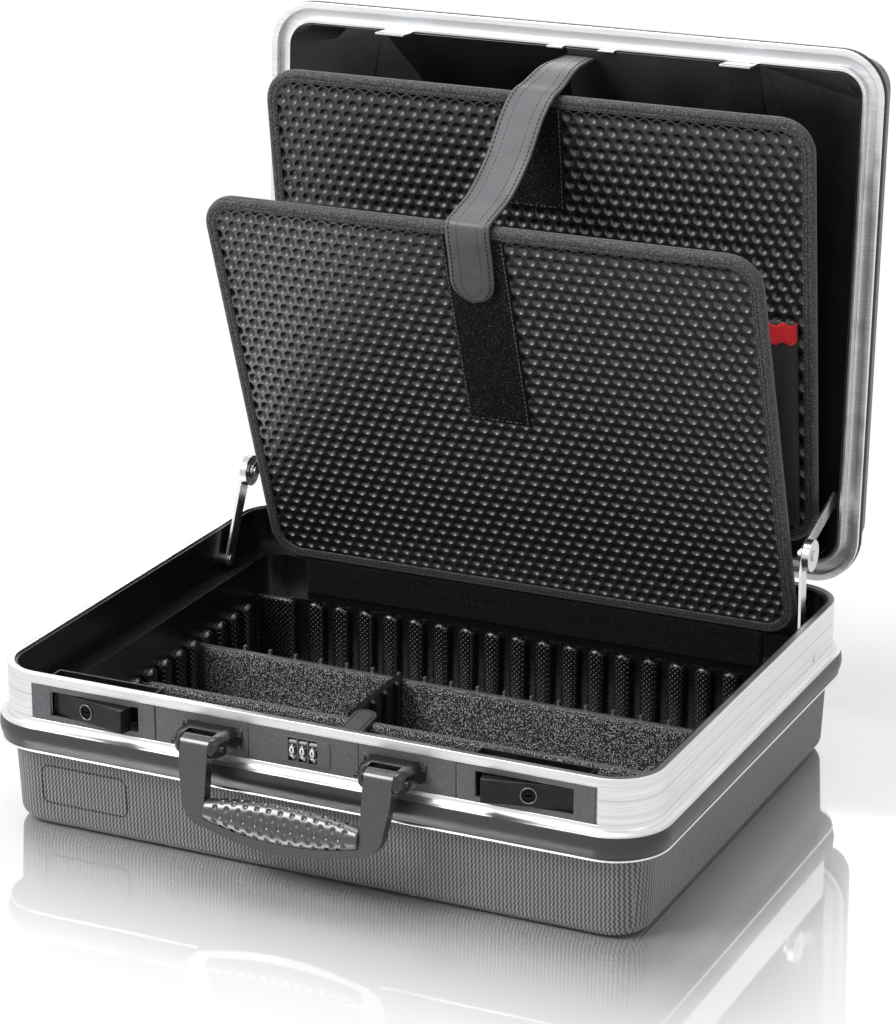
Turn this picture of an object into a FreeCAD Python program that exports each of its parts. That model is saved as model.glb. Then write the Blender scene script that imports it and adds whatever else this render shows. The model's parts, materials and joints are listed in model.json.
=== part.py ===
import FreeCAD
import Part
import math
import os

# Hard tool case, open. Millimetres, +X along the front to the right, +Y to the hinges, +Z up.
# The origin is the centre of the flat underside.
# Sizes of the aluminium frames and of the two shells
frame_width = 456.0
frame_depth = 368.0
frame_corner = 32.0
base_height = 109.0
lid_height = 58.0
lid_open_angle = 93.0
seat_gap = 0.2
running_gap = 0.05
cut_overrun = 2.0

rim_width = 4.6
rim_height = 2.6
frame_wall = 3.0
frame_straight = 31.5
cove_out = 5.5
cove_height = 4.6
recess_depth = 1.8

band_height = 14.6
band_out = 7.0
band_edge_out = 4.3
lip_height = 1.0
lip_out = 4.6
shell_wall = 3.0
shell_inset = 3.5
shell_draft = 2.2
shell_round = 10.0
neck_wall = 1.5
neck_height = 8.0

lid_rim_side = 2.5
lid_channel_width = 14.7
lid_channel_height = 9.0
lid_groove_width = 7.4
lid_groove_depth = 6.0
lid_outer_lip = 4.6
lid_channel_tuck = 1.8
lid_band_height = 10.5
lid_band_out = 0.8
lid_band_end_in = 1.5
lid_shell_inset = 4.5
lid_shell_draft = 6.5
lid_shell_round = 11.0

hinge_behind = 6.6
hinge_below = 9.8
hinge_place = 130.0
hinge_length = 54.0
hinge_pin_radius = 1.5
hinge_barrel_radius = 3.2
hinge_leaf = 1.5
hinge_leaf_height = 18.0
hinge_screw_radius = 2.6
hinge_screw_head = 0.8
hinge_screw_place = 17.0

# The liner tray in the base
tray_wall = 1.8
tray_top_drop = 1.5
ledge_drop = 32.2
ledge_thickness = 2.0
tray_side_room = 21.0
tray_front_room = 21.0
tray_rear_room = 22.0
tray_shelf_drop = 58.0
tray_shelf_depth = 15.0
tray_corner = 12.0
tray_floor = 2.0
tray_floor_clear = 0.4
rib_pitch = 20.0
rib_width = 13.0
rib_depth = 7.0
rib_drop = 57.0
rib_edge_round = 4.5
rib_top_round = 3.2
corner_block_width = 30.0

# Dividers in the tray
divider_thickness = 6.0
divider_drop = 64.0
divider_facing = 2.0
divider_end_gap = 0.5
rear_divider_slot_share = 2.5
front_divider_slot_share = -1.5
fin_depth = 3.0
fin_width = 2.2
fin_rise = 3.0
cross_divider_place = -46.0
cross_divider_drop = 60.0
cross_thickness = 5.0
cross_rib_radius = 2.8
cross_rib_count = 4
tab_width = 15.0
tab_length = 24.0
tab_thickness = 2.2
tab_slope = 24.0
tab_round = 6.5

# Front plates
plate_drop = 6.4
plate_height = 24.2
plate_joint = 1.4
handle_plate_inner = 38.6
lock_plate_half = 38.2
end_gap = 1.6
pocket_width = 64.8
pocket_outer_margin = 13.8
pocket_inner_margin = 11.8
pocket_height = 16.8

# Latches
lever_open_angle = 13.0
lever_pivot_room = 17.2
lever_inner_room = 5.2
lever_end_gap = 1.2
lever_height = 15.6
lever_depth = 9.0
lever_skin = 1.6
lever_boss_radius = 2.6
lever_pin_radius = 1.2
lever_pin_inset = 5.0
lug_height = 2.4
lug_width = 8.0
tongue_inset = 5.4
tongue_width = 9.0
tongue_thickness = 2.4
tongue_reach = 19.5
tongue_drop = 12.2
key_from_pivot = 12.5
key_radius = 4.6
key_ring = 0.9
key_proud = 0.5
key_depth = 7.0
key_slot_width = 1.3
key_slot_length = 4.6
key_slot_depth = 1.5
strike_width = 22.0
strike_bar = 1.6
strike_thickness = 1.4
strike_reach = 15.4
strike_foot = 5.0
strike_window_height = 4.6
housing_depth = 16.0
housing_wall = 1.4
housing_overlap = 6.0
housing_top_drop = 4.0

# Number lock
wheel_count = 3
wheel_pitch = 7.1
wheel_width = 5.4
wheel_radius = 9.6
wheel_proud = 0.9
wheel_notch_radius = 0.9
wheel_notch_count = 10
wheel_window_gap = 0.5
axle_radius = 1.6
inset_width = 38.0
inset_height = 17.5
inset_proud = 0.7
inset_round = 2.5

# Handle
handle_place = 63.65
handle_leg_width = 19.6
handle_leg_depth = 8.0
handle_drop = 50.2
handle_pivot_out = 18.5
handle_rest_swing = 9.7
handle_barrel_radius = 6.6
handle_pin_radius = 2.0
ear_width = 10.8
ear_gap = 0.4
ear_radius = 7.2
ear_round = 2.6
bail_band = 6.4
bail_sag = 7.8
bail_corner = 18.0
bail_taper = 3.5
grip_end_height = 14.0
grip_middle_height = 26.0
grip_depth = 13.8
grip_overlap = 2.0

# Stays between base and lid
stay_base_y = 120.0
stay_base_drop = 25.0
stay_lid_y = 122.7
stay_lid_rise = 6.5
stay_lower_length = 65.37
stay_upper_length = 70.2
stay_width = 11.0
stay_thickness = 1.8
stay_clear = 0.4
stay_side_room = 20.4
stay_foot_room = 11.6
stay_drum_radius = 11.0
stay_drum_depth = 4.8
stay_rivet_radius = 2.6
stay_rivet_head = 1.1
stay_post_radius = 4.0

# Tool boards that hinge up behind the tray and in the lid
board_side_room = 26.5
board_end_room = 61.5
board_thickness = 8.0
board_corner = 24.0
binding_width = 8.3
board_inset = 1.0
front_board_y = 160.0
front_board_drop = 31.6
front_board_tilt = 19.1
rear_board_y = 201.3
rear_board_rise = 25.0
rear_board_tilt = 7.2
pad_width = 46.0
pad_thickness = 1.4
front_pad_length = 150.0
rear_pad_length = 74.0
pouch_side_room = 4.2
pouch_height = 150.0
pouch_foot = 14.0
pouch_depth = 9.0
pouch_round = 4.0
elastic_height = 15.0
elastic_thickness = 1.0
hinge_strip_width = 352.0
hinge_strip_thickness = 1.5
hinge_strip_gap = 0.4
lid_strip_width = 380.0

# Lid liner, strap and clips
liner_wall = 1.4
liner_gap = 0.3
liner_draft = 1.6
liner_depth = 50.0
recess_side_room = 60.0
recess_x_high = 8.0
recess_front_room = 26.0
recess_y_high = 60.0
recess_round = 14.0
recess_step = 3.0
strap_width = 36.0
strap_root_width = 24.0
strap_thickness = 2.8
strap_place = 11.0
strap_lift = 0.3
strap_drift_share = (1.0, 1.0, 0.6, 0.4, 0.2, 0.0, 0.0, -0.15, -0.3)
strap_end_share = 1.6
clip_width = 12.0
clip_space = 38.0
clip_thickness = 1.4
clip_reach = 6.0

emboss_side_room = 66.0
emboss_width = 64.0
emboss_height = 28.0
emboss_drop = 77.5
emboss_round = 6.0
emboss_groove = 1.3
emboss_depth = 0.9

rivet_radius = 3.0
rivet_head = 0.9
rivet_place_y = 120.0
rivet_drop = 27.0

half_width = frame_width / 2
half_depth = frame_depth / 2
rim_z = base_height
hinge_y = half_depth + hinge_behind
hinge_z = rim_z - hinge_below
tray_side = half_width - tray_side_room
tray_front = half_depth - tray_front_room
tray_rear = half_depth - tray_rear_room
rear_rib_count = 2 * int((tray_side - corner_block_width - rib_width / 2) / rib_pitch) + 1
side_rib_count = 2 * int((tray_rear - tray_shelf_depth - rib_depth - rib_width / 2) / rib_pitch) + 1
plate_end = half_width - frame_corner
pocket_outer = plate_end - pocket_outer_margin
pocket_inner = pocket_outer - pocket_width
latch_plate_inner = pocket_inner - pocket_inner_margin
handle_plate_outer = latch_plate_inner - plate_joint
lever_pivot_place = pocket_outer - lever_pivot_room
lever_inner = pocket_inner + lever_inner_room
lever_outer = pocket_outer - lever_end_gap
tongue_place = lever_inner + tongue_inset
strike_place = tongue_place
key_place = lever_pivot_place - key_from_pivot
stay_inner_place = half_width - stay_side_room
board_width = frame_width - 2 * board_side_room
board_height = frame_depth - board_end_room
pouch_width = board_width - 2 * (binding_width + pouch_side_room)
recess_x_low = -half_width + recess_side_room
recess_y_low = -half_depth + recess_front_room
emboss_x = -half_width + emboss_side_room
arc_steps = 6
grip_sections = 7


def vec(x, y, z):
    return FreeCAD.Vector(x, y, z)


def box(x0, x1, y0, y1, z0, z1):
    return Part.makeBox(x1 - x0, y1 - y0, z1 - z0, vec(x0, y0, z0))


def cylinder_x(radius, x0, x1, y, z):
    return Part.makeCylinder(radius, x1 - x0, vec(x0, y, z), vec(1, 0, 0))


def cylinder_y(radius, y0, y1, x, z):
    return Part.makeCylinder(radius, y1 - y0, vec(x, y0, z), vec(0, 1, 0))


def cylinder_z(radius, z0, z1, x, y):
    return Part.makeCylinder(radius, z1 - z0, vec(x, y, z0), vec(0, 0, 1))


def turned(shape, angle, y, z):
    """Copy of a shape turned about an axis along X through y, z."""
    copy = shape.copy()
    copy.rotate(vec(0, y, z), vec(1, 0, 0), angle)
    return copy


def swung(shape, angle, x, y):
    """Copy of a shape turned about an upright axis through x, y."""
    copy = shape.copy()
    copy.rotate(vec(x, y, 0), vec(0, 0, 1), angle)
    return copy


def moved(shape, x, y, z):
    copy = shape.copy()
    copy.translate(vec(x, y, z))
    return copy


def mirrored(shape):
    """Mirror image across the middle plane of the case."""
    return shape.mirror(vec(0, 0, 0), vec(1, 0, 0))


def joined(shapes):
    whole = shapes[0]
    for shape in shapes[1:]:
        whole = whole.fuse(shape)
    return whole.removeSplitter()


def rounded_wire(x0, x1, y0, y1, radius, z):
    """Closed level outline of a rectangle with round corners."""
    turn = math.sqrt(0.5)
    edges = []
    corners = [(x1 - radius, y0 + radius, 1, -1), (x1 - radius, y1 - radius, 1, 1),
               (x0 + radius, y1 - radius, -1, 1), (x0 + radius, y0 + radius, -1, -1)]
    starts = [(0, -1), (1, 0), (0, 1), (-1, 0)]
    ends = [(1, 0), (0, 1), (-1, 0), (0, -1)]
    places = []
    for (cx, cy, sx, sy), start, end in zip(corners, starts, ends):
        first = vec(cx + radius * start[0], cy + radius * start[1], z)
        middle = vec(cx + radius * turn * sx, cy + radius * turn * sy, z)
        last = vec(cx + radius * end[0], cy + radius * end[1], z)
        places.append((first, middle, last))
    for index, (first, middle, last) in enumerate(places):
        edges.append(Part.Arc(first, middle, last).toShape())
        following = places[(index + 1) % len(places)][0]
        edges.append(Part.LineSegment(last, following).toShape())
    return Part.Wire(edges)


def rounded_slab(x0, x1, y0, y1, radius, z0, z1):
    face = Part.Face(rounded_wire(x0, x1, y0, y1, radius, z0))
    return face.extrude(vec(0, 0, z1 - z0))


def case_wire(offset, z):
    """Outline of the case at a height, offset out from the frame's outer wall."""
    return rounded_wire(-half_width - offset, half_width + offset, -half_depth - offset,
                        half_depth + offset, max(frame_corner + offset, rim_width), z)


def case_loft(levels):
    """Solid through case outlines, each an offset and a height."""
    wires = [case_wire(offset, z) for offset, z in levels]
    return Part.makeLoft(wires, True, True)


def case_ring(outer, inner, z0, z1):
    """Ring of constant section between two offsets."""
    return case_loft([(outer, z0), (outer, z1)]).cut(
        case_loft([(inner, z0 - cut_overrun), (inner, z1 + cut_overrun)]))


def closed_to_open(shape):
    """Places a lid piece that was drawn shut in the open position."""
    return turned(shape, -lid_open_angle, hinge_y, hinge_z)


# Base: shell, frame and tray
def base_shell():
    band_top = rim_z - frame_straight - cove_height - seat_gap
    band_foot = band_top - band_height
    neck_out = -frame_wall - seat_gap / 2
    neck_in = neck_out - neck_wall
    outer = [(neck_out, band_top + neck_height), (neck_out, band_top), (cove_out - seat_gap, band_top)]
    for step in range(1, arc_steps):
        share = step / arc_steps
        bow = (band_out - cove_out) * math.sin(math.pi * share)
        slide = (band_edge_out - cove_out) * share
        outer.append((cove_out + bow + slide, band_top - band_height * share))
    outer.append((band_edge_out, band_foot))
    outer.append((lip_out, band_foot - lip_height / 2))
    outer.append((band_edge_out, band_foot - lip_height))
    outer.append((-shell_inset, band_foot - lip_height))
    outer.append((-shell_inset - shell_draft, shell_round))
    for step in range(1, arc_steps + 1):
        angle = math.pi / 2 * step / arc_steps
        inset = shell_inset + shell_draft + shell_round * (1 - math.cos(angle))
        outer.append((-inset, shell_round * (1 - math.sin(angle))))
    whole = level_stack(outer)
    cavity_foot = shell_inset + shell_draft + shell_wall
    cavity = [(neck_in, band_top + neck_height + cut_overrun), (neck_in, band_top - shell_wall),
              (band_edge_out - shell_wall, band_top - shell_wall),
              (band_edge_out - shell_wall, band_foot + shell_wall),
              (-shell_inset - shell_wall, band_foot + shell_wall),
              (-cavity_foot, shell_round), (-cavity_foot - shell_round / 2, shell_wall)]
    whole = whole.cut(level_stack(cavity))
    whole = whole.cut(emboss_groove_solid())
    for side in (-1, 1):
        whole = whole.cut(latch_opening(side))
    return whole.cut(lock_opening())


def level_stack(levels):
    """Solid through outlines listed downwards, where a step sideways keeps its height."""
    pieces = []
    for upper, lower in zip(levels, levels[1:]):
        if abs(upper[1] - lower[1]) > 0:
            pieces.append(case_loft([lower, upper]))
    return joined(pieces)


def emboss_groove_solid():
    """Shallow groove round a blank rectangle at the left of the front wall."""
    face_out = half_depth - shell_inset
    z = rim_z - emboss_drop
    outer = rounded_slab(-emboss_width / 2, emboss_width / 2, -emboss_height / 2, emboss_height / 2,
                         emboss_round, 0, emboss_depth + shell_draft + cut_overrun)
    inner = rounded_slab(-emboss_width / 2 + emboss_groove, emboss_width / 2 - emboss_groove,
                         -emboss_height / 2 + emboss_groove, emboss_height / 2 - emboss_groove,
                         emboss_round - emboss_groove, -cut_overrun,
                         emboss_depth + shell_draft + 2 * cut_overrun)
    ring = outer.cut(inner)
    ring.rotate(vec(0, 0, 0), vec(1, 0, 0), 90)
    wall_drop = base_height - frame_straight - cove_height - band_height - lip_height - shell_round
    lean = math.degrees(math.atan(shell_draft / wall_drop))
    ring.rotate(vec(0, 0, 0), vec(1, 0, 0), lean)
    top = rim_z - frame_straight - cove_height - band_height - lip_height
    inward = shell_draft * (top - z) / wall_drop
    ring.translate(vec(emboss_x, -face_out + inward + emboss_depth, z))
    return ring


def base_frame():
    outer = [(0, rim_z), (0, rim_z - frame_straight)]
    for step in range(1, arc_steps + 1):
        angle = math.pi / 2 * step / arc_steps
        drop = frame_straight + cove_height * math.sin(angle)
        outer.append((cove_out * (1 - math.cos(angle)), rim_z - drop))
    frame = level_stack(outer)
    rim_foot = rim_z - rim_height
    frame = frame.cut(case_loft([(-rim_width, rim_foot - cut_overrun), (-rim_width, rim_z + cut_overrun)]))
    frame = frame.cut(case_loft([(-frame_wall, -cut_overrun), (-frame_wall, rim_foot)]))
    z0, z1 = plate_z()
    recess = box(-plate_end, plate_end + end_gap, -half_depth - cut_overrun, -half_depth + recess_depth,
                 z0, z1)
    frame = frame.cut(recess)
    for side in (-1, 1):
        frame = frame.cut(latch_opening(side))
    frame = frame.cut(lock_opening())
    return frame


def plate_z():
    return rim_z - plate_drop - plate_height, rim_z - plate_drop


def plate_middle():
    return rim_z - plate_drop - plate_height / 2


def inner_wall_out():
    """Distance from the frame's outer wall to the inner face of the tray's upper wall."""
    return rim_width + seat_gap + tray_wall


def pocket_z():
    return plate_middle() - pocket_height / 2, plate_middle() + pocket_height / 2


def latch_opening(side):
    """Hole through frame and tray wall that a latch lever and the lugs of its pin take up."""
    z0, z1 = pocket_z()
    x0, x1 = sorted((side * pocket_inner, side * pocket_outer))
    room = lug_height + seat_gap
    return box(x0, x1, -half_depth - cut_overrun, -half_depth + inner_wall_out() + cut_overrun,
               z0 - room, z1 + room)


def lock_half():
    return wheel_count * wheel_pitch / 2


def wheel_axis():
    return -half_depth - wheel_proud - inset_proud + wheel_radius, plate_middle()


def lock_opening():
    """Hole through frame and tray wall that the wheels and their housing take up."""
    y, z = wheel_axis()
    half = lock_half() + housing_wall + seat_gap
    tall = wheel_radius + wheel_window_gap + housing_wall + seat_gap
    return box(-half, half, -half_depth - cut_overrun, -half_depth + inner_wall_out() + cut_overrun,
               z - tall, z + tall)


def tray_inner(z0, z1, rear):
    return rounded_slab(-tray_side, tray_side, -tray_front, rear, tray_corner, z0, z1)


def tray_outer(z0, z1, rear):
    return rounded_slab(-tray_side - tray_wall, tray_side + tray_wall, -tray_front - tray_wall,
                        rear + tray_wall, tray_corner + tray_wall, z0, z1)


def tray_floor_top():
    return shell_wall + tray_floor_clear + tray_floor


def rib(width):
    """Upright rib with round edges and a round top, its back on the plane y = 0, facing -Y."""
    tall = rim_z - rib_drop - tray_floor_top()
    body = box(-width / 2, width / 2, -rib_depth, 0, 0, tall)
    upright = [edge for edge in body.Edges if edge_is_upright(edge) and edge.BoundBox.YMax < 0]
    body = body.makeFillet(min(rib_edge_round, width / 2 - seat_gap, rib_depth - seat_gap), upright)
    top = [edge for edge in body.Edges
           if edge.BoundBox.ZMin > tall - seat_gap and edge.BoundBox.YMin < -seat_gap]
    return body.makeFillet(rib_top_round, top)


def edge_is_upright(edge):
    bounds = edge.BoundBox
    return bounds.ZMax - bounds.ZMin > bounds.XMax - bounds.XMin + bounds.YMax - bounds.YMin


def base_tray():
    ledge_top = rim_z - ledge_drop
    shelf_z = rim_z - tray_shelf_drop
    outside = -rim_width - seat_gap
    floor_z = shell_wall + tray_floor_clear
    upper = case_ring(outside, outside - tray_wall, ledge_top - ledge_thickness, rim_z - tray_top_drop)
    plate = case_loft([(outside, ledge_top - ledge_thickness), (outside, ledge_top)])
    tray = upper.fuse(plate)
    tray = tray.fuse(tray_outer(shelf_z - ledge_thickness, ledge_top, tray_rear))
    tray = tray.fuse(tray_outer(floor_z, shelf_z, tray_rear - tray_shelf_depth))
    tray = tray.cut(tray_inner(shelf_z, ledge_top + cut_overrun, tray_rear))
    tray = tray.cut(tray_inner(floor_z + tray_floor, shelf_z + cut_overrun, tray_rear - tray_shelf_depth))
    pieces = [tray]
    wide = rib(rib_width)
    for index in range(rear_rib_count):
        x = (index - (rear_rib_count - 1) / 2) * rib_pitch
        pieces.append(moved(wide, x, tray_rear - tray_shelf_depth, tray_floor_top()))
    block = rib(corner_block_width)
    block_x = tray_side - corner_block_width / 2 - seat_gap
    for side in (-1, 1):
        pieces.append(moved(block, side * block_x, tray_rear - tray_shelf_depth, tray_floor_top()))
    for index in range(side_rib_count):
        y = (index - (side_rib_count - 1) / 2) * rib_pitch
        for side in (-1, 1):
            turned_rib = wide.copy()
            turned_rib.rotate(vec(0, 0, 0), vec(0, 0, 1), -side * 90)
            pieces.append(moved(turned_rib, side * tray_side, y, tray_floor_top()))
    tray = joined(pieces)
    for side in (-1, 1):
        tray = tray.cut(latch_opening(side))
    return tray.cut(lock_opening())


# Dividers
def slot_y(slot):
    """Middle of a slot between side ribs, counted in pitches from the middle rib."""
    return slot * rib_pitch


def divider_foot():
    return tray_floor_top() + seat_gap


def divider_half():
    return tray_side - divider_end_gap


def rear_divider():
    y = slot_y(rear_divider_slot_share)
    top = rim_z - divider_drop
    core = box(-divider_half(), divider_half(), y - divider_thickness / 2 + divider_facing,
               y + divider_thickness / 2, divider_foot(), top)
    fins = [core]
    back = y + divider_thickness / 2
    for index in range(rear_rib_count):
        x = (index - (rear_rib_count - 1) / 2) * rib_pitch - rib_pitch / 2
        fin = box(x - fin_width / 2, x + fin_width / 2, back, back + fin_depth,
                  divider_foot(), top + fin_rise)
        fins.append(fin)
    return joined(fins)


def front_divider():
    y = slot_y(front_divider_slot_share)
    thick = divider_thickness / 2 - divider_facing
    return box(-divider_half(), divider_half(), y - thick, y + thick, divider_foot(), rim_z - divider_drop)


def divider_facings():
    """Foam sheets on the front of the rear divider and on both sides of the front one."""
    top = rim_z - divider_drop - seat_gap
    sheets = []
    y = slot_y(rear_divider_slot_share) - divider_thickness / 2
    sheets.append(facing_sheet(y, top))
    front = slot_y(front_divider_slot_share)
    sheets.append(facing_sheet(front - divider_thickness / 2, top))
    sheets.append(facing_sheet(front + divider_thickness / 2 - divider_facing, top))
    return Part.makeCompound(sheets)


def facing_sheet(y, top):
    half = divider_half() - rib_depth
    return box(-half, half, y, y + divider_facing, divider_foot(), top)


def cross_divider():
    y0 = slot_y(front_divider_slot_share) + divider_thickness / 2 + seat_gap
    y1 = slot_y(rear_divider_slot_share) - divider_thickness / 2 - seat_gap
    x = cross_divider_place
    top = rim_z - cross_divider_drop
    body = box(x - cross_thickness / 2, x + cross_thickness / 2, y0, y1, divider_foot(), top)
    pieces = [body]
    space = (y1 - y0) / cross_rib_count
    for index in range(cross_rib_count):
        y = y0 + (index + 0.5) * space
        for side in (-1, 1):
            rod_x = x + side * cross_thickness / 2
            rod = cylinder_z(cross_rib_radius, divider_foot(), top - cross_rib_radius, rod_x, y)
            pieces.append(rod.fuse(Part.makeSphere(cross_rib_radius, vec(rod_x, y, top - cross_rib_radius))))
    return joined(pieces)


def divider_tab():
    """Leather pull tab lying over the cross divider, its end hanging to the right."""
    y0 = slot_y(front_divider_slot_share) + divider_thickness / 2 + seat_gap
    tab = rounded_slab(-tab_length / 2, tab_length / 2, -tab_width / 2, tab_width / 2,
                       tab_round, 0, tab_thickness)
    tab.rotate(vec(-tab_length / 2, 0, 0), vec(0, 1, 0), tab_slope)
    x = cross_divider_place + tab_length / 2 + cross_thickness / 2
    lift = math.tan(math.radians(tab_slope)) * cross_thickness
    z = rim_z - cross_divider_drop + seat_gap
    tab.translate(vec(x - cross_thickness, y0 + tab_width / 2, z + lift))
    return tab


# Front plates, latches and number lock
def front_plate(x0, x1):
    z0, z1 = plate_z()
    return box(x0, x1, -half_depth, -half_depth + recess_depth, z0, z1)


def latch_plate():
    """Left latch plate with its pocket and the two lugs that hold the lever's pin."""
    z0, z1 = pocket_z()
    plate = front_plate(-plate_end, -latch_plate_inner)
    plate = plate.cut(box(-pocket_outer, -pocket_inner, -half_depth - cut_overrun,
                          -half_depth + recess_depth + cut_overrun, z0, z1))
    y0 = -half_depth + recess_depth
    y1 = -half_depth + lever_pin_inset + lever_boss_radius
    for foot in (z0 - lug_height, z1):
        plate = plate.fuse(box(-lever_pivot_place - lug_width / 2, -lever_pivot_place + lug_width / 2,
                               y0, y1, foot, foot + lug_height))
    return plate.cut(lever_pin_hole(lever_pin_radius)).removeSplitter()


def lever_pin_hole(radius):
    z0, z1 = pocket_z()
    return cylinder_z(radius, z0 - lug_height, z1 + lug_height,
                      -lever_pivot_place, -half_depth + lever_pin_inset)


def handle_plate():
    """Left handle plate with the two ears that carry the handle's pin."""
    y = -half_depth - handle_pivot_out
    z = plate_middle()
    plate = front_plate(-handle_plate_outer, -handle_plate_inner)
    mound = handle_pivot_out - handle_barrel_radius - ear_gap
    inner = handle_leg_width / 2 + ear_gap
    pieces = [plate, box(-handle_place - inner - ear_width, -handle_place + inner + ear_width,
                         -half_depth - mound, -half_depth, z - ear_radius, z + ear_radius)]
    for x0 in (-handle_place - inner - ear_width, -handle_place + inner):
        ear = box(x0, x0 + ear_width, y, -half_depth, z - ear_radius, z + ear_radius)
        ear = ear.fuse(cylinder_x(ear_radius, x0, x0 + ear_width, y, z)).removeSplitter()
        outer_x = x0 if x0 < -handle_place - inner else x0 + ear_width
        rim = [edge for edge in ear.Edges if abs(edge.BoundBox.XMin - outer_x) < seat_gap
               and abs(edge.BoundBox.XMax - outer_x) < seat_gap
               and edge.BoundBox.YMin < -half_depth - seat_gap]
        pieces.append(ear.makeFillet(ear_round, rim))
    plate = joined(pieces)
    return plate.cut(handle_pin_solid(handle_pin_radius))


def handle_pin_solid(radius):
    reach = handle_leg_width / 2 + ear_gap + ear_width - ear_round
    return cylinder_x(radius, -handle_place - reach, -handle_place + reach,
                      -half_depth - handle_pivot_out, plate_middle())


def wheel_window_half():
    """Half height of a window, wide enough for the wheel where it passes the plate's back."""
    back = wheel_radius - wheel_proud - inset_proud - recess_depth
    return math.sqrt(wheel_radius ** 2 - back ** 2) + wheel_window_gap


def wheel_places():
    return [(index - (wheel_count - 1) / 2) * wheel_pitch for index in range(wheel_count)]


def lock_plate():
    z = plate_middle()
    plate = front_plate(-lock_plate_half, lock_plate_half)
    inset = rounded_slab(-inset_width / 2, inset_width / 2, -inset_height / 2, inset_height / 2,
                         inset_round, 0, inset_proud)
    inset.rotate(vec(0, 0, 0), vec(1, 0, 0), 90)
    plate = plate.fuse(moved(inset, 0, -half_depth, z)).removeSplitter()
    half = (wheel_width + wheel_window_gap) / 2
    tall = wheel_window_half()
    for x in wheel_places():
        plate = plate.cut(box(x - half, x + half, -half_depth - inset_proud - cut_overrun,
                              -half_depth + recess_depth + cut_overrun, z - tall, z + tall))
    return plate


def number_wheel(x):
    y, z = wheel_axis()
    wheel = cylinder_x(wheel_radius, x - wheel_width / 2, x + wheel_width / 2, y, z)
    for index in range(wheel_notch_count):
        angle = 2 * math.pi * (index + 0.5) / wheel_notch_count
        wheel = wheel.cut(cylinder_x(wheel_notch_radius, x - wheel_width, x + wheel_width,
                                     y - wheel_radius * math.cos(angle), z + wheel_radius * math.sin(angle)))
    return wheel.cut(cylinder_x(axle_radius + running_gap, x - wheel_width, x + wheel_width, y, z))


def wheel_axle():
    y, z = wheel_axis()
    reach = lock_half() + housing_wall
    return cylinder_x(axle_radius, -reach, reach, y, z)


def lock_housing():
    y, z = wheel_axis()
    half = lock_half() + housing_wall
    tall = wheel_radius + wheel_window_gap + housing_wall
    back = y + wheel_radius + wheel_window_gap + housing_wall
    front = -half_depth + recess_depth + seat_gap
    housing = box(-half, half, front, back, z - tall, z + tall)
    housing = housing.cut(box(-lock_half(), lock_half(), front - cut_overrun, back - housing_wall,
                              z - tall + housing_wall, z + tall - housing_wall))
    return housing.cut(cylinder_x(axle_radius, -half, half, y, z))


def latch_housing():
    """Left open trough behind the latch, standing on the tray's ledge."""
    y0 = -half_depth + inner_wall_out() + seat_gap
    y1 = y0 + housing_depth
    z0 = rim_z - ledge_drop
    z1 = rim_z - housing_top_drop
    x0 = -pocket_outer - housing_overlap
    x1 = -pocket_inner + housing_overlap
    trough = box(x0, x1, y0, y1, z0, z1)
    return trough.cut(box(x0 + housing_wall, x1 - housing_wall, y0 - cut_overrun, y1 - housing_wall,
                          z0 + housing_wall, z1 + cut_overrun))


def latch_lever():
    """Left latch lever, drawn shut and then swung open."""
    z = plate_middle()
    z0 = z - lever_height / 2
    z1 = z + lever_height / 2
    front = -half_depth
    lever = box(-lever_outer, -lever_inner, front, front + lever_depth, z0, z1)
    edges = [edge for edge in lever.Edges if edge.BoundBox.YMax < front + seat_gap]
    lever = lever.makeFillet(lever_skin / 2, edges)
    lever = lever.cut(box(-lever_outer + lever_skin, -lever_inner - lever_skin, front + lever_skin,
                          front + lever_depth + cut_overrun, z0 + lever_skin, z1 - lever_skin))
    pin_y = front + lever_pin_inset
    lever = lever.fuse(cylinder_z(lever_boss_radius, z0, z1, -lever_pivot_place, pin_y))
    tongue_z = rim_z - tongue_drop
    lever = lever.fuse(box(-tongue_place - tongue_width / 2, -tongue_place + tongue_width / 2,
                           front + lever_skin, front + tongue_reach,
                           tongue_z - tongue_thickness / 2, tongue_z + tongue_thickness / 2))
    lever = lever.cut(lever_pin_hole(lever_pin_radius + running_gap))
    lever = lever.cut(cylinder_y(key_radius + running_gap, front - cut_overrun, front + lever_skin + cut_overrun,
                                 -key_place, z))
    return opened_lever(lever.removeSplitter())


def opened_lever(shape):
    return swung(shape, -lever_open_angle, -lever_pivot_place, -half_depth + lever_pin_inset)


def key_cylinder():
    """Left key cylinder with a ring face and a slot, in the lever's open place."""
    z = plate_middle()
    front = -half_depth - key_proud
    key = cylinder_y(key_radius, front, front + key_depth, -key_place, z)
    groove = cylinder_y(key_radius - key_ring, front - cut_overrun, front + key_proud, -key_place, z)
    core = cylinder_y(key_radius - 2 * key_ring, front - cut_overrun, front + key_proud + cut_overrun,
                      -key_place, z)
    key = key.cut(groove.cut(core))
    key = key.cut(box(-key_place - key_slot_length / 2, -key_place + key_slot_length / 2, front - cut_overrun,
                      front + key_slot_depth, z - key_slot_width / 2, z + key_slot_width / 2))
    return opened_lever(key)


def strike():
    """Left strike, a plate with a window, hanging shut from the lid frame's inner lip."""
    y0 = -half_depth + lid_channel_width
    y1 = y0 + strike_thickness
    z0 = rim_z - strike_reach
    z1 = rim_z + strike_foot
    middle = rim_z - tongue_drop
    plate = box(-strike_place - strike_width / 2, -strike_place + strike_width / 2, y0, y1, z0, z1)
    window = box(-strike_place - strike_width / 2 + strike_bar, -strike_place + strike_width / 2 - strike_bar,
                 y0 - cut_overrun, y1 + cut_overrun,
                 middle - strike_window_height / 2, middle + strike_window_height / 2)
    return closed_to_open(plate.cut(window))


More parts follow.
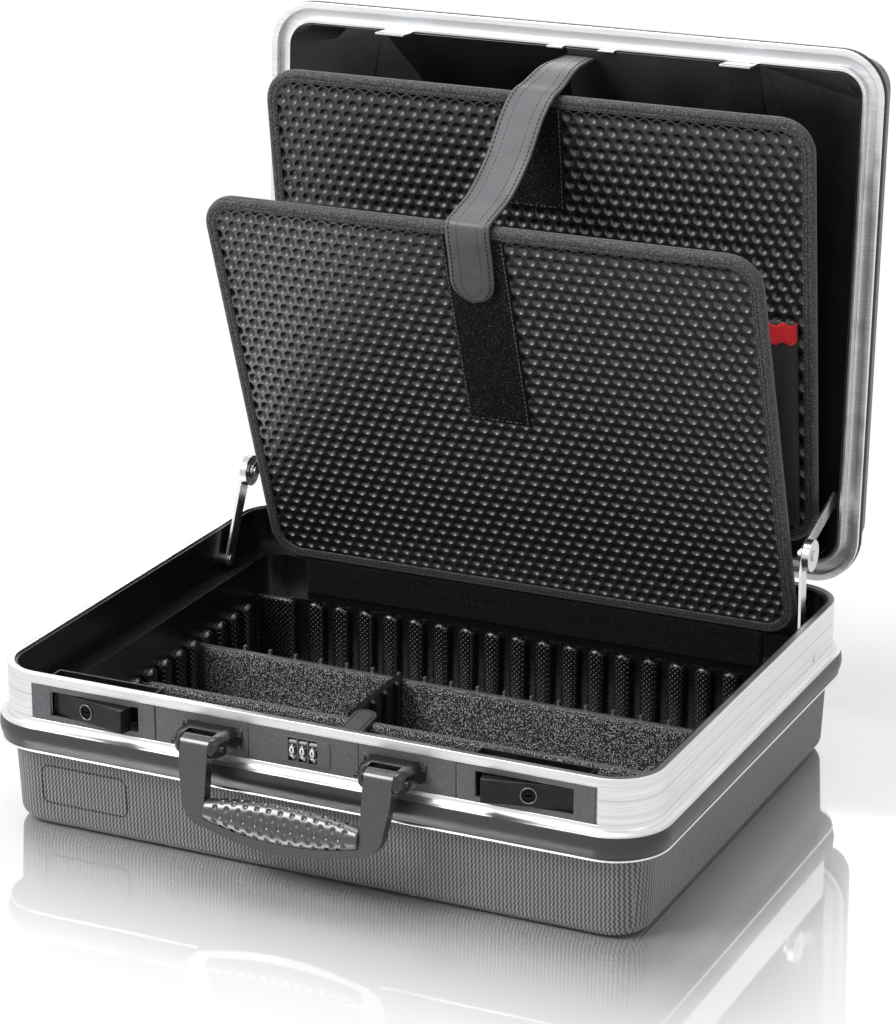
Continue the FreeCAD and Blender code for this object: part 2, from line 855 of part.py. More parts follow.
# Handle
def bail_outline():
    """Flat outline of the handle in the X and Z plane, its legs drawing in and its foot sagging."""
    shoulder = handle_place + handle_leg_width / 2
    outer = shoulder - bail_taper
    neck = 2 * handle_barrel_radius
    foot = -handle_drop
    bend = foot + bail_corner
    slack = bail_corner * (1 - math.sqrt(0.5))
    half = [vec(shoulder, 0, 0), vec(shoulder, 0, -neck), vec(outer, 0, bend),
            vec(outer - slack, 0, foot + slack), vec(outer - bail_corner, 0, foot)]
    other = [vec(-point.x, 0, point.z) for point in half]
    edges = [Part.LineSegment(other[0], half[0]).toShape(),
             Part.Arc(half[4], vec(0, 0, foot - bail_sag), other[4]).toShape()]
    for first, second, third, fourth, fifth in (half, other):
        edges.append(Part.LineSegment(first, second).toShape())
        edges.append(Part.LineSegment(second, third).toShape())
        edges.append(Part.Arc(third, fourth, fifth).toShape())
    edges = Part.__sortEdges__(edges)
    return Part.Face(Part.Wire(edges))


def bail_inside():
    """Space between the legs, down to the band under the grip."""
    inner = handle_place - handle_leg_width / 2
    foot = -handle_drop + bail_band
    points = [vec(-inner, 0, handle_barrel_radius * 2), vec(-inner, 0, foot), vec(0, 0, foot - bail_sag),
              vec(inner, 0, foot), vec(inner, 0, handle_barrel_radius * 2)]
    edges = [Part.LineSegment(points[0], points[1]).toShape(),
             Part.Arc(points[1], points[2], points[3]).toShape(),
             Part.LineSegment(points[3], points[4]).toShape(),
             Part.LineSegment(points[4], points[0]).toShape()]
    return Part.Face(Part.Wire(edges))


def handle_bail():
    y = -half_depth - handle_pivot_out
    z = plate_middle()
    front = y - handle_barrel_radius
    body = bail_outline().extrude(vec(0, handle_leg_depth, 0))
    hole = bail_inside().extrude(vec(0, handle_leg_depth + 2 * cut_overrun, 0))
    body = body.cut(moved(hole, 0, -cut_overrun, 0))
    body = moved(body, 0, front, z)
    pieces = [body]
    for side in (-1, 1):
        x = side * handle_place
        pieces.append(cylinder_x(handle_barrel_radius, x - handle_leg_width / 2,
                                 x + handle_leg_width / 2, y, z))
    bail = joined(pieces)
    bail = bail.cut(grip_solid(seat_gap))
    for side in (-1, 1):
        x = side * handle_place
        bail = bail.cut(cylinder_x(handle_pin_radius + running_gap, x - handle_leg_width / 2 - cut_overrun,
                                   x + handle_leg_width / 2 + cut_overrun, y, z))
    return bail


def handle_hung(shape):
    """Places a handle piece that was drawn hanging upright in its resting swing."""
    return turned(shape, -handle_rest_swing, -half_depth - handle_pivot_out, plate_middle())


def grip_solid(extra):
    """Barrel-shaped grip between the legs, thickest in the middle."""
    y = -half_depth - handle_pivot_out - handle_barrel_radius + handle_leg_depth / 2
    foot = plate_middle() - handle_drop + bail_band - grip_overlap
    reach = handle_place - handle_leg_width / 2 + extra - seat_gap
    wires = []
    for index in range(grip_sections):
        share = 2 * index / (grip_sections - 1) - 1
        swell = 1 - share ** 2
        height = grip_end_height + (grip_middle_height - grip_end_height) * swell
        middle = foot - bail_sag * swell + height / 2
        ellipse = Part.Ellipse(vec(0, 0, 0), height / 2 + extra, grip_depth / 2 + extra)
        wire = Part.Wire([ellipse.toShape()])
        wire.rotate(vec(0, 0, 0), vec(0, 1, 0), -90)
        wire.translate(vec(share * reach, y, middle))
        wires.append(wire)
    return Part.makeLoft(wires, True, False)


# Hinges
def hinge_parts():
    """Base leaf, lid leaf and pin of one hinge about x = 0, drawn shut."""
    third = hinge_length / 3
    knuckle_gap = seat_gap / 2
    barrel = [cylinder_x(hinge_barrel_radius, -hinge_length / 2, hinge_length / 2, hinge_y, hinge_z)]
    middle = box(-third / 2 - knuckle_gap, third / 2 + knuckle_gap, hinge_y - 2 * hinge_barrel_radius,
                 hinge_y + 2 * hinge_barrel_radius, hinge_z - 2 * hinge_barrel_radius,
                 hinge_z + 2 * hinge_barrel_radius)
    base_leaf = box(-hinge_length / 2, hinge_length / 2, half_depth, half_depth + hinge_leaf,
                    hinge_z - hinge_leaf_height, hinge_z)
    base_arm = box(-hinge_length / 2, hinge_length / 2, half_depth, hinge_y, hinge_z - hinge_barrel_radius,
                   hinge_z - hinge_barrel_radius + hinge_leaf)
    base_leaf = joined([base_leaf, base_arm, barrel[0]]).cut(middle)
    third_half = third / 2 - knuckle_gap
    lid_side = half_depth + lid_band_out + seat_gap
    foot = hinge_z + hinge_barrel_radius - hinge_leaf
    lid_knuckle = cylinder_x(hinge_barrel_radius, -third_half, third_half, hinge_y, hinge_z)
    lid_arm = box(-third_half, third_half, lid_side, hinge_y, foot, foot + hinge_leaf)
    lid_riser = box(-third_half, third_half, lid_side, lid_side + hinge_leaf, foot, rim_z + lid_rim_side)
    lid_leaf = box(-hinge_length / 2, hinge_length / 2, lid_side, lid_side + hinge_leaf,
                   rim_z + lid_rim_side, rim_z + lid_rim_side + lid_band_height - seat_gap)
    lid_leaf = joined([lid_leaf, lid_riser, lid_arm, lid_knuckle])
    hole = cylinder_x(hinge_pin_radius + running_gap, -hinge_length, hinge_length, hinge_y, hinge_z)
    pin = cylinder_x(hinge_pin_radius, -hinge_length / 2, hinge_length / 2, hinge_y, hinge_z)
    screws = []
    for x in (-hinge_screw_place, hinge_screw_place):
        z = hinge_z - (hinge_leaf_height + hinge_barrel_radius) / 2
        screws.append(cylinder_y(hinge_screw_radius, half_depth + hinge_leaf,
                                 half_depth + hinge_leaf + hinge_screw_head, x, z))
    base_leaf = base_leaf.cut(cylinder_x(hinge_pin_radius, -hinge_length, hinge_length, hinge_y, hinge_z))
    return base_leaf, lid_leaf.cut(hole), pin, Part.makeCompound(screws)


# Stays
def circle_meeting(a, ra, b, rb):
    """Point at distance ra from a and rb from b, on the left of the way from a to b."""
    dy = b[0] - a[0]
    dz = b[1] - a[1]
    apart = math.hypot(dy, dz)
    along = (ra ** 2 - rb ** 2 + apart ** 2) / (2 * apart)
    across = math.sqrt(max(ra ** 2 - along ** 2, 0))
    return (a[0] + (along * dy - across * dz) / apart, a[1] + (along * dz + across * dy) / apart)


def opened_point(y, z):
    angle = math.radians(-lid_open_angle)
    dy = y - hinge_y
    dz = z - hinge_z
    return (hinge_y + dy * math.cos(angle) - dz * math.sin(angle),
            hinge_z + dy * math.sin(angle) + dz * math.cos(angle))


def stay_points():
    """Base pivot, middle pivot and lid pivot of a stay, first open and then shut."""
    base = (stay_base_y, rim_z - stay_base_drop)
    lid_shut = (stay_lid_y, rim_z + stay_lid_rise)
    lid_open = opened_point(*lid_shut)
    return [(base, circle_meeting(base, stay_lower_length, lid, stay_upper_length), lid)
            for lid in (lid_open, lid_shut)]


def laid(shape, a, b):
    """Places a shape that was drawn along Y from the origin, from one place towards another."""
    return moved(turned(shape, angle_of(a, b), 0, 0), 0, a[0], a[1])


def link(x0, x1, length, width):
    """Flat bar with round ends along Y, its first pivot at the origin."""
    bar = box(x0, x1, 0, length, -width / 2, width / 2)
    return joined([bar, cylinder_x(width / 2, x0, x1, 0, 0), cylinder_x(width / 2, x0, x1, length, 0)])


def stay_lower_place():
    """Inner face of what turns outside the upper link."""
    return stay_inner_place + stay_thickness + stay_clear


def stay_foot_place():
    return half_width - stay_foot_room


def stay_lower_bar(hub_place):
    """Flat steel set over from its foot by the wall to the middle pivot."""
    foot = stay_foot_place()
    end = stay_width / 2
    bend = stay_lower_length - stay_drum_radius
    inner = [(foot, -end), (foot, end), (hub_place, bend), (hub_place, stay_lower_length + end)]
    points = [vec(x, y, -end) for x, y in inner]
    points += [vec(x + stay_thickness, y, -end) for x, y in reversed(inner)]
    strip = Part.Face(Part.makePolygon(points + points[:1])).extrude(vec(0, 0, stay_width))
    return strip.common(link(hub_place, foot + stay_thickness, stay_lower_length, stay_width))


def stay_lower(drum_inside):
    """Right lower link with the drum and the rivet of the middle pivot."""
    base, middle, lid = stay_points()[0]
    x0 = stay_lower_place()
    x1 = x0 + stay_thickness + stay_drum_depth
    drum_place = x0 if drum_inside else x0 + stay_thickness
    bar = laid(stay_lower_bar(x0 + stay_drum_depth if drum_inside else x0), base, middle)
    drum = cylinder_x(stay_drum_radius, drum_place, drum_place + stay_drum_depth, *middle)
    shaft = cylinder_x(stay_rivet_radius, stay_inner_place - seat_gap, x1, *middle)
    head = cylinder_x(stay_rivet_radius + stay_rivet_head, stay_inner_place - seat_gap - stay_rivet_head,
                      stay_inner_place - seat_gap, *middle)
    dome = cylinder_x(stay_rivet_radius + stay_rivet_head, x1, x1 + stay_rivet_head, *middle)
    lower = joined([bar, drum, shaft, head, dome])
    foot = stay_foot_place()
    return lower.cut(cylinder_x(stay_rivet_radius + running_gap, foot - cut_overrun,
                                foot + stay_thickness + cut_overrun, *base))


def stay_upper():
    """Right upper link with its rivet head at the lid."""
    base, middle, lid = stay_points()[0]
    x1 = stay_inner_place + stay_thickness
    bar = laid(link(stay_inner_place, x1, stay_upper_length, stay_width), middle, lid)
    head = cylinder_x(stay_rivet_radius + stay_rivet_head, stay_inner_place - stay_rivet_head,
                      stay_inner_place, *lid)
    upper = joined([bar, head])
    return upper.cut(cylinder_x(stay_rivet_radius + running_gap, stay_inner_place - cut_overrun,
                                x1 + cut_overrun, *middle))


def stay_base_post():
    """Right spacer and rivet that carry the lower link on the tray's upper wall."""
    base = stay_points()[0][0]
    x0 = stay_foot_place()
    x1 = x0 + stay_thickness
    wall = half_width - inner_wall_out()
    post = cylinder_x(stay_post_radius, x1 + seat_gap, wall, *base)
    shaft = cylinder_x(stay_rivet_radius, x0 - seat_gap, x1 + seat_gap, *base)
    head = cylinder_x(stay_rivet_radius + stay_rivet_head, x0 - seat_gap - stay_rivet_head,
                      x0 - seat_gap, *base)
    return joined([post, shaft, head])


def liner_inner_out(rise):
    """Offset of the liner's inner face at a height over the lid's mouth."""
    return -lid_channel_width - liner_gap - liner_wall - liner_draft * rise / liner_depth


def stay_lid_post():
    """Right stub on the lid's liner that the upper link hangs beside."""
    y, z = stay_lid_y, rim_z + stay_lid_rise
    x0 = stay_lower_place()
    x1 = half_width + liner_inner_out(stay_lid_rise + stay_post_radius)
    return closed_to_open(cylinder_x(stay_post_radius, x0, x1, y, z))


# Lid
def lid_frame():
    flange = case_loft([(0, rim_z), (0, rim_z + lid_rim_side)])
    body = case_loft([(-lid_channel_tuck, rim_z + lid_rim_side),
                      (-lid_channel_tuck, rim_z + lid_channel_height)])
    frame = flange.fuse(body)
    frame = frame.cut(case_loft([(-lid_channel_width, rim_z - cut_overrun),
                                 (-lid_channel_width, rim_z + lid_channel_height + cut_overrun)]))
    groove = case_ring(-lid_outer_lip, -lid_outer_lip - lid_groove_width, rim_z - cut_overrun,
                       rim_z + lid_groove_depth)
    return closed_to_open(frame.cut(groove).removeSplitter())


def lid_shell():
    foot = rim_z + lid_rim_side + seat_gap / 2
    band_top = foot + lid_band_height
    wall_top = rim_z + lid_height - lid_shell_round
    outer = []
    for step in range(arc_steps + 1):
        angle = math.pi / 2 * step / arc_steps
        inset = lid_shell_inset + lid_shell_draft + lid_shell_round * (1 - math.sin(angle))
        outer.append((-inset, wall_top + lid_shell_round * math.cos(angle)))
    outer.append((-lid_shell_inset, band_top))
    outer.append((-lid_band_end_in, band_top))
    for step in range(1, arc_steps):
        share = step / arc_steps
        bow = lid_band_out * math.sin(math.pi * share)
        outer.append((-lid_band_end_in * (1 - share) + bow, band_top - lid_band_height * share))
    outer.append((0, foot))
    whole = level_stack(outer)
    seat = rim_z + lid_channel_height + seat_gap / 2
    inner_low = lid_shell_inset + shell_wall
    inner_high = lid_shell_inset + lid_shell_draft + shell_wall
    cavity = [(-inner_high - shell_wall, rim_z + lid_height - shell_wall), (-inner_high, wall_top),
              (-inner_low, seat), (-lid_channel_tuck + seat_gap / 2, seat),
              (-lid_channel_tuck + seat_gap / 2, foot - cut_overrun)]
    return closed_to_open(whole.cut(level_stack(cavity)))


def lid_liner():
    outer_low = -lid_channel_width - liner_gap
    foot = rim_z + liner_gap
    top = rim_z + liner_depth
    outer = case_loft([(outer_low, foot), (outer_low - liner_draft, top)])
    inner = case_loft([(outer_low - liner_wall, foot - seat_gap),
                       (outer_low - liner_wall - liner_draft, top - liner_wall)])
    liner = outer.cut(inner)
    recess = rounded_slab(recess_x_low, recess_x_high, recess_y_low, recess_y_high, recess_round,
                          top - liner_wall - recess_step, top - liner_wall)
    hollow = rounded_slab(recess_x_low + liner_wall, recess_x_high - liner_wall, recess_y_low + liner_wall,
                          recess_y_high - liner_wall, recess_round - liner_wall,
                          top - recess_step, top + cut_overrun)
    liner = liner.fuse(recess).cut(hollow).removeSplitter()
    for x, width, reach in front_lip_plates():
        half = width / 2 + seat_gap
        liner = liner.cut(box(x - half, x + half, -half_depth, -half_depth + 2 * lid_channel_width,
                              rim_z - cut_overrun, rim_z + reach + seat_gap))
    return closed_to_open(liner)


def front_lip_plates():
    """Place, width and height over the rim of each plate on the lid frame's inner lip."""
    plates = [(side * strike_place, strike_width, strike_foot) for side in (-1, 1)]
    return plates + [(strap_place + side * clip_space / 2, clip_width, clip_reach / 2)
                     for side in (-1, 1)]


def strap_clips():
    """Two small plates on the lid frame's inner lip, one each side of the strap."""
    y0 = -half_depth + lid_channel_width
    plates = []
    for side in (-1, 1):
        x = strap_place + side * clip_space / 2
        plates.append(closed_to_open(box(x - clip_width / 2, x + clip_width / 2, y0, y0 + clip_thickness,
                                         rim_z - clip_reach / 2, rim_z + clip_reach / 2)))
    return Part.makeCompound(plates)


def lid_strip():
    """Fabric strip from the lid's rear wall to the foot of the rear board."""
    pivot = shut_rear_pivot()
    y1 = half_depth + liner_inner_out(0) - seat_gap
    z0 = pivot[1] + hinge_strip_gap
    return closed_to_open(box(-lid_strip_width / 2, lid_strip_width / 2, pivot[0], y1,
                              z0, z0 + hinge_strip_thickness))


def shut_rear_pivot():
    """Where the rear board's pivot lies when the lid is shut."""
    angle = math.radians(lid_open_angle)
    dy = rear_board_y - hinge_y
    dz = rear_board_rise + hinge_below
    return (hinge_y + dy * math.cos(angle) - dz * math.sin(angle),
            hinge_z + dy * math.sin(angle) + dz * math.cos(angle))


# Tool boards
def board_slab(x0, x1, s0, s1, radius, front, back):
    """Upright slab with round corners, s being the height over the board's lower edge."""
    slab = rounded_slab(x0, x1, s0, s1, radius, -back, -front)
    slab.rotate(vec(0, 0, 0), vec(1, 0, 0), 90)
    return slab


def front_placed(shape):
    copy = turned(shape, front_board_tilt, 0, 0)
    return moved(copy, 0, front_board_y, rim_z - front_board_drop)


def rear_placed(shape):
    copy = turned(shape, rear_board_tilt, board_thickness, 0)
    return moved(copy, 0, rear_board_y - board_thickness, rim_z + rear_board_rise)


def board_core():
    half = board_width / 2 - binding_width
    return board_slab(-half, half, binding_width, board_height - binding_width,
                      board_corner - binding_width,
                      board_inset, board_thickness - board_inset)


def board_binding():
    half = board_width / 2
    outer = board_slab(-half, half, 0, board_height, board_corner, 0, board_thickness)
    inner = board_slab(-half + binding_width, half - binding_width, binding_width,
                       board_height - binding_width,
                       board_corner - binding_width, -cut_overrun, board_thickness + cut_overrun)
    return outer.cut(inner)


def board_pad(length):
    top = board_height - binding_width
    return board_slab(-pad_width / 2, pad_width / 2, top - length, top, board_inset,
                      board_inset - pad_thickness, board_inset)


def board_pouches():
    return board_slab(-pouch_width / 2, pouch_width / 2, pouch_foot, pouch_foot + pouch_height,
                      pouch_round,
                      board_inset - pouch_depth, board_inset)


def board_elastic():
    top = pouch_foot + pouch_height
    return board_slab(-pouch_width / 2, pouch_width / 2, top - elastic_height, top, pouch_round,
                      board_inset - pouch_depth - elastic_thickness, board_inset - pouch_depth)


def panel_hinge_strip():
    """Velvet strip on the tray's rear wall that the front board hinges over."""
    y1 = tray_rear
    z1 = rim_z - front_board_drop - hinge_strip_gap
    return box(-hinge_strip_width / 2, hinge_strip_width / 2, y1 - hinge_strip_thickness, y1,
               rim_z - tray_shelf_drop, z1)


# Strap
def on_front_board(height, lift):
    """Place on the front board's face: height over its lower edge and lift off the face."""
    tilt = math.radians(front_board_tilt)
    y = front_board_y - height * math.sin(tilt) - lift * math.cos(tilt)
    z = rim_z - front_board_drop + height * math.cos(tilt) - lift * math.sin(tilt)
    return y, z


def on_rear_board(height, lift):
    tilt = math.radians(rear_board_tilt)
    y = rear_board_y - height * math.sin(tilt) - (board_thickness + lift) * math.cos(tilt)
    z = rim_z + rear_board_rise + height * math.cos(tilt) - (board_thickness + lift) * math.sin(tilt)
    return y, z


def strap_route():
    """Route of the strap's middle line: x, y, z and width at each point."""
    half = strap_thickness / 2 + strap_lift
    face = half + pad_thickness - board_inset
    root_y, root_z = opened_point(-half_depth + lid_channel_width + half, rim_z - strap_thickness)
    over_y, over_z = on_rear_board(board_height + 3 * half, -board_thickness)
    front_y, front_z = on_rear_board(board_height + 2 * half, 3 * half)
    top_y, top_z = on_front_board(board_height + 2 * half, -board_thickness / 2)
    edge_y, edge_z = on_front_board(board_height + half / 2, face + half)
    low_y, low_z = on_front_board(board_height - strap_width, face)
    end_y, end_z = on_front_board(board_height - strap_end_share * strap_width, face)
    places = [(root_y, root_z, strap_root_width),
              ((root_y + over_y) / 2, (root_z + over_z) / 2 + half, strap_root_width),
              (over_y, over_z, strap_width), (front_y, front_z - half, strap_width),
              ((front_y + top_y) / 2, (front_z + top_z) / 2, strap_width),
              (top_y, top_z, strap_width), (edge_y, edge_z, strap_width),
              (low_y, low_z, strap_width), (end_y, end_z, strap_width)]
    return [(strap_place * drift, *place) for drift, place in zip(strap_drift_share, places)]


def lid_strap():
    route = strap_route()
    sections = []
    for index, (x, y, z, width) in enumerate(route):
        before = route[max(index - 1, 0)]
        after = route[min(index + 1, len(route) - 1)]
        along = vec(0, after[1] - before[1], after[2] - before[2])
        along.normalize()
        out = along.cross(vec(1, 0, 0)) * (strap_thickness / 2)
        side = vec(width / 2, 0, 0)
        middle = vec(x, y, z)
        corners = [middle - side - out, middle + side - out, middle + side + out, middle - side + out]
        corners.append(corners[0])
        sections.append(Part.makePolygon(corners))
    return Part.makeLoft(sections, True, True)


def frame_rivets():
    """Rivet heads on the outer side walls of the base frame."""
    heads = []
    for side in (-1, 1):
        x0 = half_width if side > 0 else -half_width - rivet_head
        heads.append(cylinder_x(rivet_radius, x0, x0 + rivet_head, rivet_place_y, rim_z - rivet_drop))
    return Part.makeCompound(heads)


def both(shape):
    return Part.makeCompound([shape, mirrored(shape)])


def build():
    nodes = {}
    nodes["base_shell"] = base_shell()
    nodes["base_frame"] = base_frame()
    nodes["base_tray"] = base_tray()
    nodes["rear_divider"] = rear_divider()
    nodes["front_divider"] = front_divider()
    nodes["divider_facings"] = divider_facings()
    nodes["cross_divider"] = cross_divider()
    nodes["divider_tab"] = divider_tab()
    plate = latch_plate()
    lever = latch_lever()
    key = key_cylinder()
    nodes["left_latch_plate"] = plate
    nodes["right_latch_plate"] = mirrored(plate)
    nodes["left_latch_lever"] = lever
    nodes["right_latch_lever"] = mirrored(lever)
    nodes["left_key_cylinder"] = key
    nodes["right_key_cylinder"] = mirrored(key)
    nodes["latch_pins"] = both(lever_pin_hole(lever_pin_radius))
    nodes["latch_housings"] = both(latch_housing())
    bracket = handle_plate()
    nodes["left_handle_plate"] = bracket
    nodes["right_handle_plate"] = mirrored(bracket)
    nodes["handle_pins"] = both(handle_pin_solid(handle_pin_radius))
    nodes["handle_bail"] = handle_hung(handle_bail())
    nodes["handle_grip"] = handle_hung(grip_solid(0))
    nodes["lock_plate"] = lock_plate()
    nodes["lock_housing"] = lock_housing()
    nodes["wheel_axle"] = wheel_axle()
    for number, x in enumerate(wheel_places(), 1):
        nodes["number_wheel_%d" % number] = number_wheel(x)
    base_leaf, lid_leaf, pin, screws = hinge_parts()
    places = (-hinge_place, hinge_place)
    nodes["hinge_base_leaves"] = Part.makeCompound([moved(base_leaf, x, 0, 0) for x in places])
    nodes["hinge_lid_leaves"] = Part.makeCompound([closed_to_open(moved(lid_leaf, x, 0, 0))
                                                   for x in places])
    nodes["hinge_pins"] = Part.makeCompound([moved(pin, x, 0, 0) for x in places])
    nodes["hinge_screws"] = Part.makeCompound([moved(screws, x, 0, 0) for x in places])
    upper = stay_upper()
    nodes["right_stay_lower"] = stay_lower(False)
    nodes["left_stay_lower"] = mirrored(stay_lower(True))
    nodes["right_stay_upper"] = upper
    nodes["left_stay_upper"] = mirrored(upper)
    nodes["stay_base_posts"] = both(stay_base_post())
    nodes["stay_lid_posts"] = both(stay_lid_post())
    nodes["frame_rivets"] = frame_rivets()
    nodes["lid_frame"] = lid_frame()
    nodes["lid_shell"] = lid_shell()
    nodes["lid_liner"] = lid_liner()
    nodes["lid_strikes"] = both(strike())
    nodes["strap_clips"] = strap_clips()
    nodes["lid_strap"] = lid_strap()
    nodes["lid_strip"] = lid_strip()
    nodes["panel_hinge_strip"] = panel_hinge_strip()
    nodes["front_board"] = front_placed(board_core())
    nodes["front_binding"] = front_placed(board_binding())
    nodes["front_pad"] = front_placed(board_pad(front_pad_length))
    nodes["rear_board"] = rear_placed(board_core())
    nodes["rear_binding"] = rear_placed(board_binding())
    nodes["rear_pad"] = rear_placed(board_pad(rear_pad_length))
    nodes["rear_pouches"] = rear_placed(board_pouches())
    nodes["rear_elastic"] = rear_placed(board_elastic())
    return nodes


def report_joints():
    """Prints the joint places and the ratios that the closed case asks of the coupled joints."""
    (base, middle, lid), (base_shut, middle_shut, lid_shut) = stay_points()
    lower = angle_of(base_shut, middle_shut) - angle_of(base, middle)
    upper = angle_of(middle_shut, lid_shut) - angle_of(middle, lid)
    lower = (lower + 360) % 360
    upper = (upper + 180) % 360 - 180
    print("lid hinge", hinge_y, hinge_z, "range", lid_open_angle)
    print("stay base", base, "middle", middle, "middle shut", middle_shut, "lower turn", lower,
          "upper turn", upper - lower)
    print("front board turn", 90 - front_board_tilt,
          "rear board turn", 90 - lid_open_angle - rear_board_tilt)
    print("lever pivot", lever_pivot_place, -half_depth + lever_pin_inset)
    print("wheel axis", wheel_axis(), "handle pivot", -half_depth - handle_pivot_out, plate_middle())


def angle_of(a, b):
    return math.degrees(math.atan2(b[1] - a[1], b[0] - a[0]))


def main():
    os.makedirs("parts", exist_ok=True)
    for name, shape in build().items():
        shape.exportStep("parts/%s.step" % name)
        print(name, len(shape.Solids), shape.isValid(), round(shape.Volume))
    report_joints()


main()
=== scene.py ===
import json
import math
import random

import bmesh
import bpy
import numpy as np
from mathutils import Matrix, Vector


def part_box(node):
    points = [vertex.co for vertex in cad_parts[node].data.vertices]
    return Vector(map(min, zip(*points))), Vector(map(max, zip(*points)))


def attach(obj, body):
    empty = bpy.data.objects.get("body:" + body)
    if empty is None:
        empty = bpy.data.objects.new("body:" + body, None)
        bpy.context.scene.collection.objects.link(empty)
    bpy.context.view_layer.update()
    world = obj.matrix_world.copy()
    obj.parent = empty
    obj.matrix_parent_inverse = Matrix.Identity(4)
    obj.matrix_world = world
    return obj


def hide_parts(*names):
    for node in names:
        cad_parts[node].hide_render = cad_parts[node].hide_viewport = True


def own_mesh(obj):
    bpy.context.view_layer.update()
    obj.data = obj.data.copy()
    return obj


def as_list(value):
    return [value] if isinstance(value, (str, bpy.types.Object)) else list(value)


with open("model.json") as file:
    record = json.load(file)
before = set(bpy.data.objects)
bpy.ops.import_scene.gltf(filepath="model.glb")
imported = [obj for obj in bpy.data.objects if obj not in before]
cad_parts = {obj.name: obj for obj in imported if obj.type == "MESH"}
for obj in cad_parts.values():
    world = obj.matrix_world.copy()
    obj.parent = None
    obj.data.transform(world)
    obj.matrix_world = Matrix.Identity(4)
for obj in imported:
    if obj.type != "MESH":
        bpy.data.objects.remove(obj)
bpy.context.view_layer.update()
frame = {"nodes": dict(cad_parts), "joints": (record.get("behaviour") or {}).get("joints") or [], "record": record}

bl_info = {
    "name": "Hard Tool Case",
    "version": (1, 0, 0),
    "blender": (4, 5, 0),
    "location": "View3D > Sidebar > Tool Case",
    "description": "Dresses a packed hard tool case: shells, frames, tray, boards, latches, handle, strap",
    "category": "Object",
}

MM = 0.001
NODES = frame["nodes"]
BODY_OF = {node: body for body, nodes in frame["record"]["behaviour"]["bodies"].items() for node in nodes}
JOINTS = {joint["name"]: joint for joint in frame["joints"]}
LID_HINGE = Vector(JOINTS["lid_hinge"]["pos_m"])
SHUT = Matrix.Rotation(math.radians(JOINTS["lid_hinge"]["range_deg"][1]), 3, "X")


# Sizes and places, in millimetres and degrees
# Handle
LEG_PLACE = 63.65
HANDLE_SWING = 9.7
PLATE_FACE = -184.0
EAR_HEIGHT = 90.5

# Ribs of the tray
RIB_WIDTH = 13.0
RIB_DEPTH = 7.0
RIB_PITCH = 20.0
RIB_TOP = 52.0
RIB_WALL_REAR = 147.0
RIB_WALL_SIDE = 207.0
REAR_RIBS = 17
SIDE_RIBS = 13

# Heights of the smooth bands of the shells, with the lid shut
BELT_FOOT = 57.0
LID_BAND_TOP = 122.1

# Tool boards
BOARD_WIDTH = 403.0
BOARD_HEIGHT = 306.5
BOARD_THICK = 8.0
BOARD_CORNER = 24.0
BOARD_FACE = 1.0
BINDING = 8.3
FRONT_TILT = 90 - JOINTS["front_board_hinge"]["range_deg"][1]
REAR_TILT = 90 - JOINTS["lid_hinge"]["range_deg"][1] - JOINTS["rear_board_hinge"]["range_deg"][0]
PAD_HALF = 23.0
PAD_LENGTHS = {"front": 150.0, "rear": 74.0}

# Pouches, and the band along their tops
POUCH_HALF = 189.0
POUCH_LOW = 14.0
POUCH_HIGH = 164.0
POUCH_COUNT = 9
BAND_HEIGHT = 14.0

# Strap
STRAP_WIDTH = 32.0
STRAP_HALF_THICK = 1.3


# Settings
def length_setting(name, text, default, low):
    return bpy.props.FloatProperty(name=name, description=text + ", mm", default=default, min=low)


def colour_setting(name, text, default):
    return bpy.props.StringProperty(name=name, description=text, default=default)


class CaseSizes(bpy.types.PropertyGroup):
    """Sizes of the dressing, in millimetres."""
    hole_pitch: length_setting("Hole pitch", "Distance between holes of the tool boards", 9.2, 4)
    hole_width: length_setting("Hole width", "Diameter of the holes of the tool boards", 7.2, 2)
    hole_depth: length_setting("Hole depth", "Depth of the holes of the tool boards", 2.1, 0.5)
    stitch_length: length_setting("Stitch length", "Length of one stitch", 2.7, 0.5)
    relief_pitch: length_setting("Relief pitch", "Distance between the shells' zigzag lines", 2.6, 0.5)
    rib_dot_pitch: length_setting("Dot pitch", "Distance between the dots on the tray's ribs", 3.8, 0.5)
    stud_pitch: length_setting("Pit pitch", "Distance between the pits of the grip", 8.2, 3)


class CaseColours(bpy.types.PropertyGroup):
    """Base colours, as sRGB hex values."""
    shell: colour_setting("Shell", "Moulded shells", "#8f9093")
    frame_metal: colour_setting("Frame", "Aluminium frames", "#e8e9ea")
    plate: colour_setting("Plates", "Front plates", "#626366")
    tray: colour_setting("Tray", "Inner tray", "#0d0d0e")
    board: colour_setting("Boards", "Tool boards", "#1d1e20")
    binding: colour_setting("Binding", "Woven edge binding", "#161719")
    strap: colour_setting("Strap", "Leather strap", "#5b5c5f")
    elastic: colour_setting("Elastic", "Elastic band", "#dc0f18")
    floor: colour_setting("Floor", "Studio floor", "#f2f2f2")


def sizes():
    return bpy.context.scene.tool_case_sizes


def colours():
    return bpy.context.scene.tool_case_colours


# Materials
def linear(hex_colour):
    """Linear colour of an sRGB hex value."""
    values = [int(hex_colour[i:i + 2], 16) / 255 for i in (1, 3, 5)]
    return tuple(v / 12.92 if v <= 0.04045 else ((v + 0.055) / 1.055) ** 2.4 for v in values) + (1.0,)


def add(tree, kind, inputs=None, **settings):
    """Adds a shader node with its settings, its values and its links."""
    node = tree.nodes.new("ShaderNode" + kind)
    for name, value in settings.items():
        setattr(node, name, value)
    for name, value in (inputs or {}).items():
        if isinstance(value, bpy.types.NodeSocket):
            tree.links.new(value, node.inputs[name])
        else:
            node.inputs[name].default_value = value
    return node


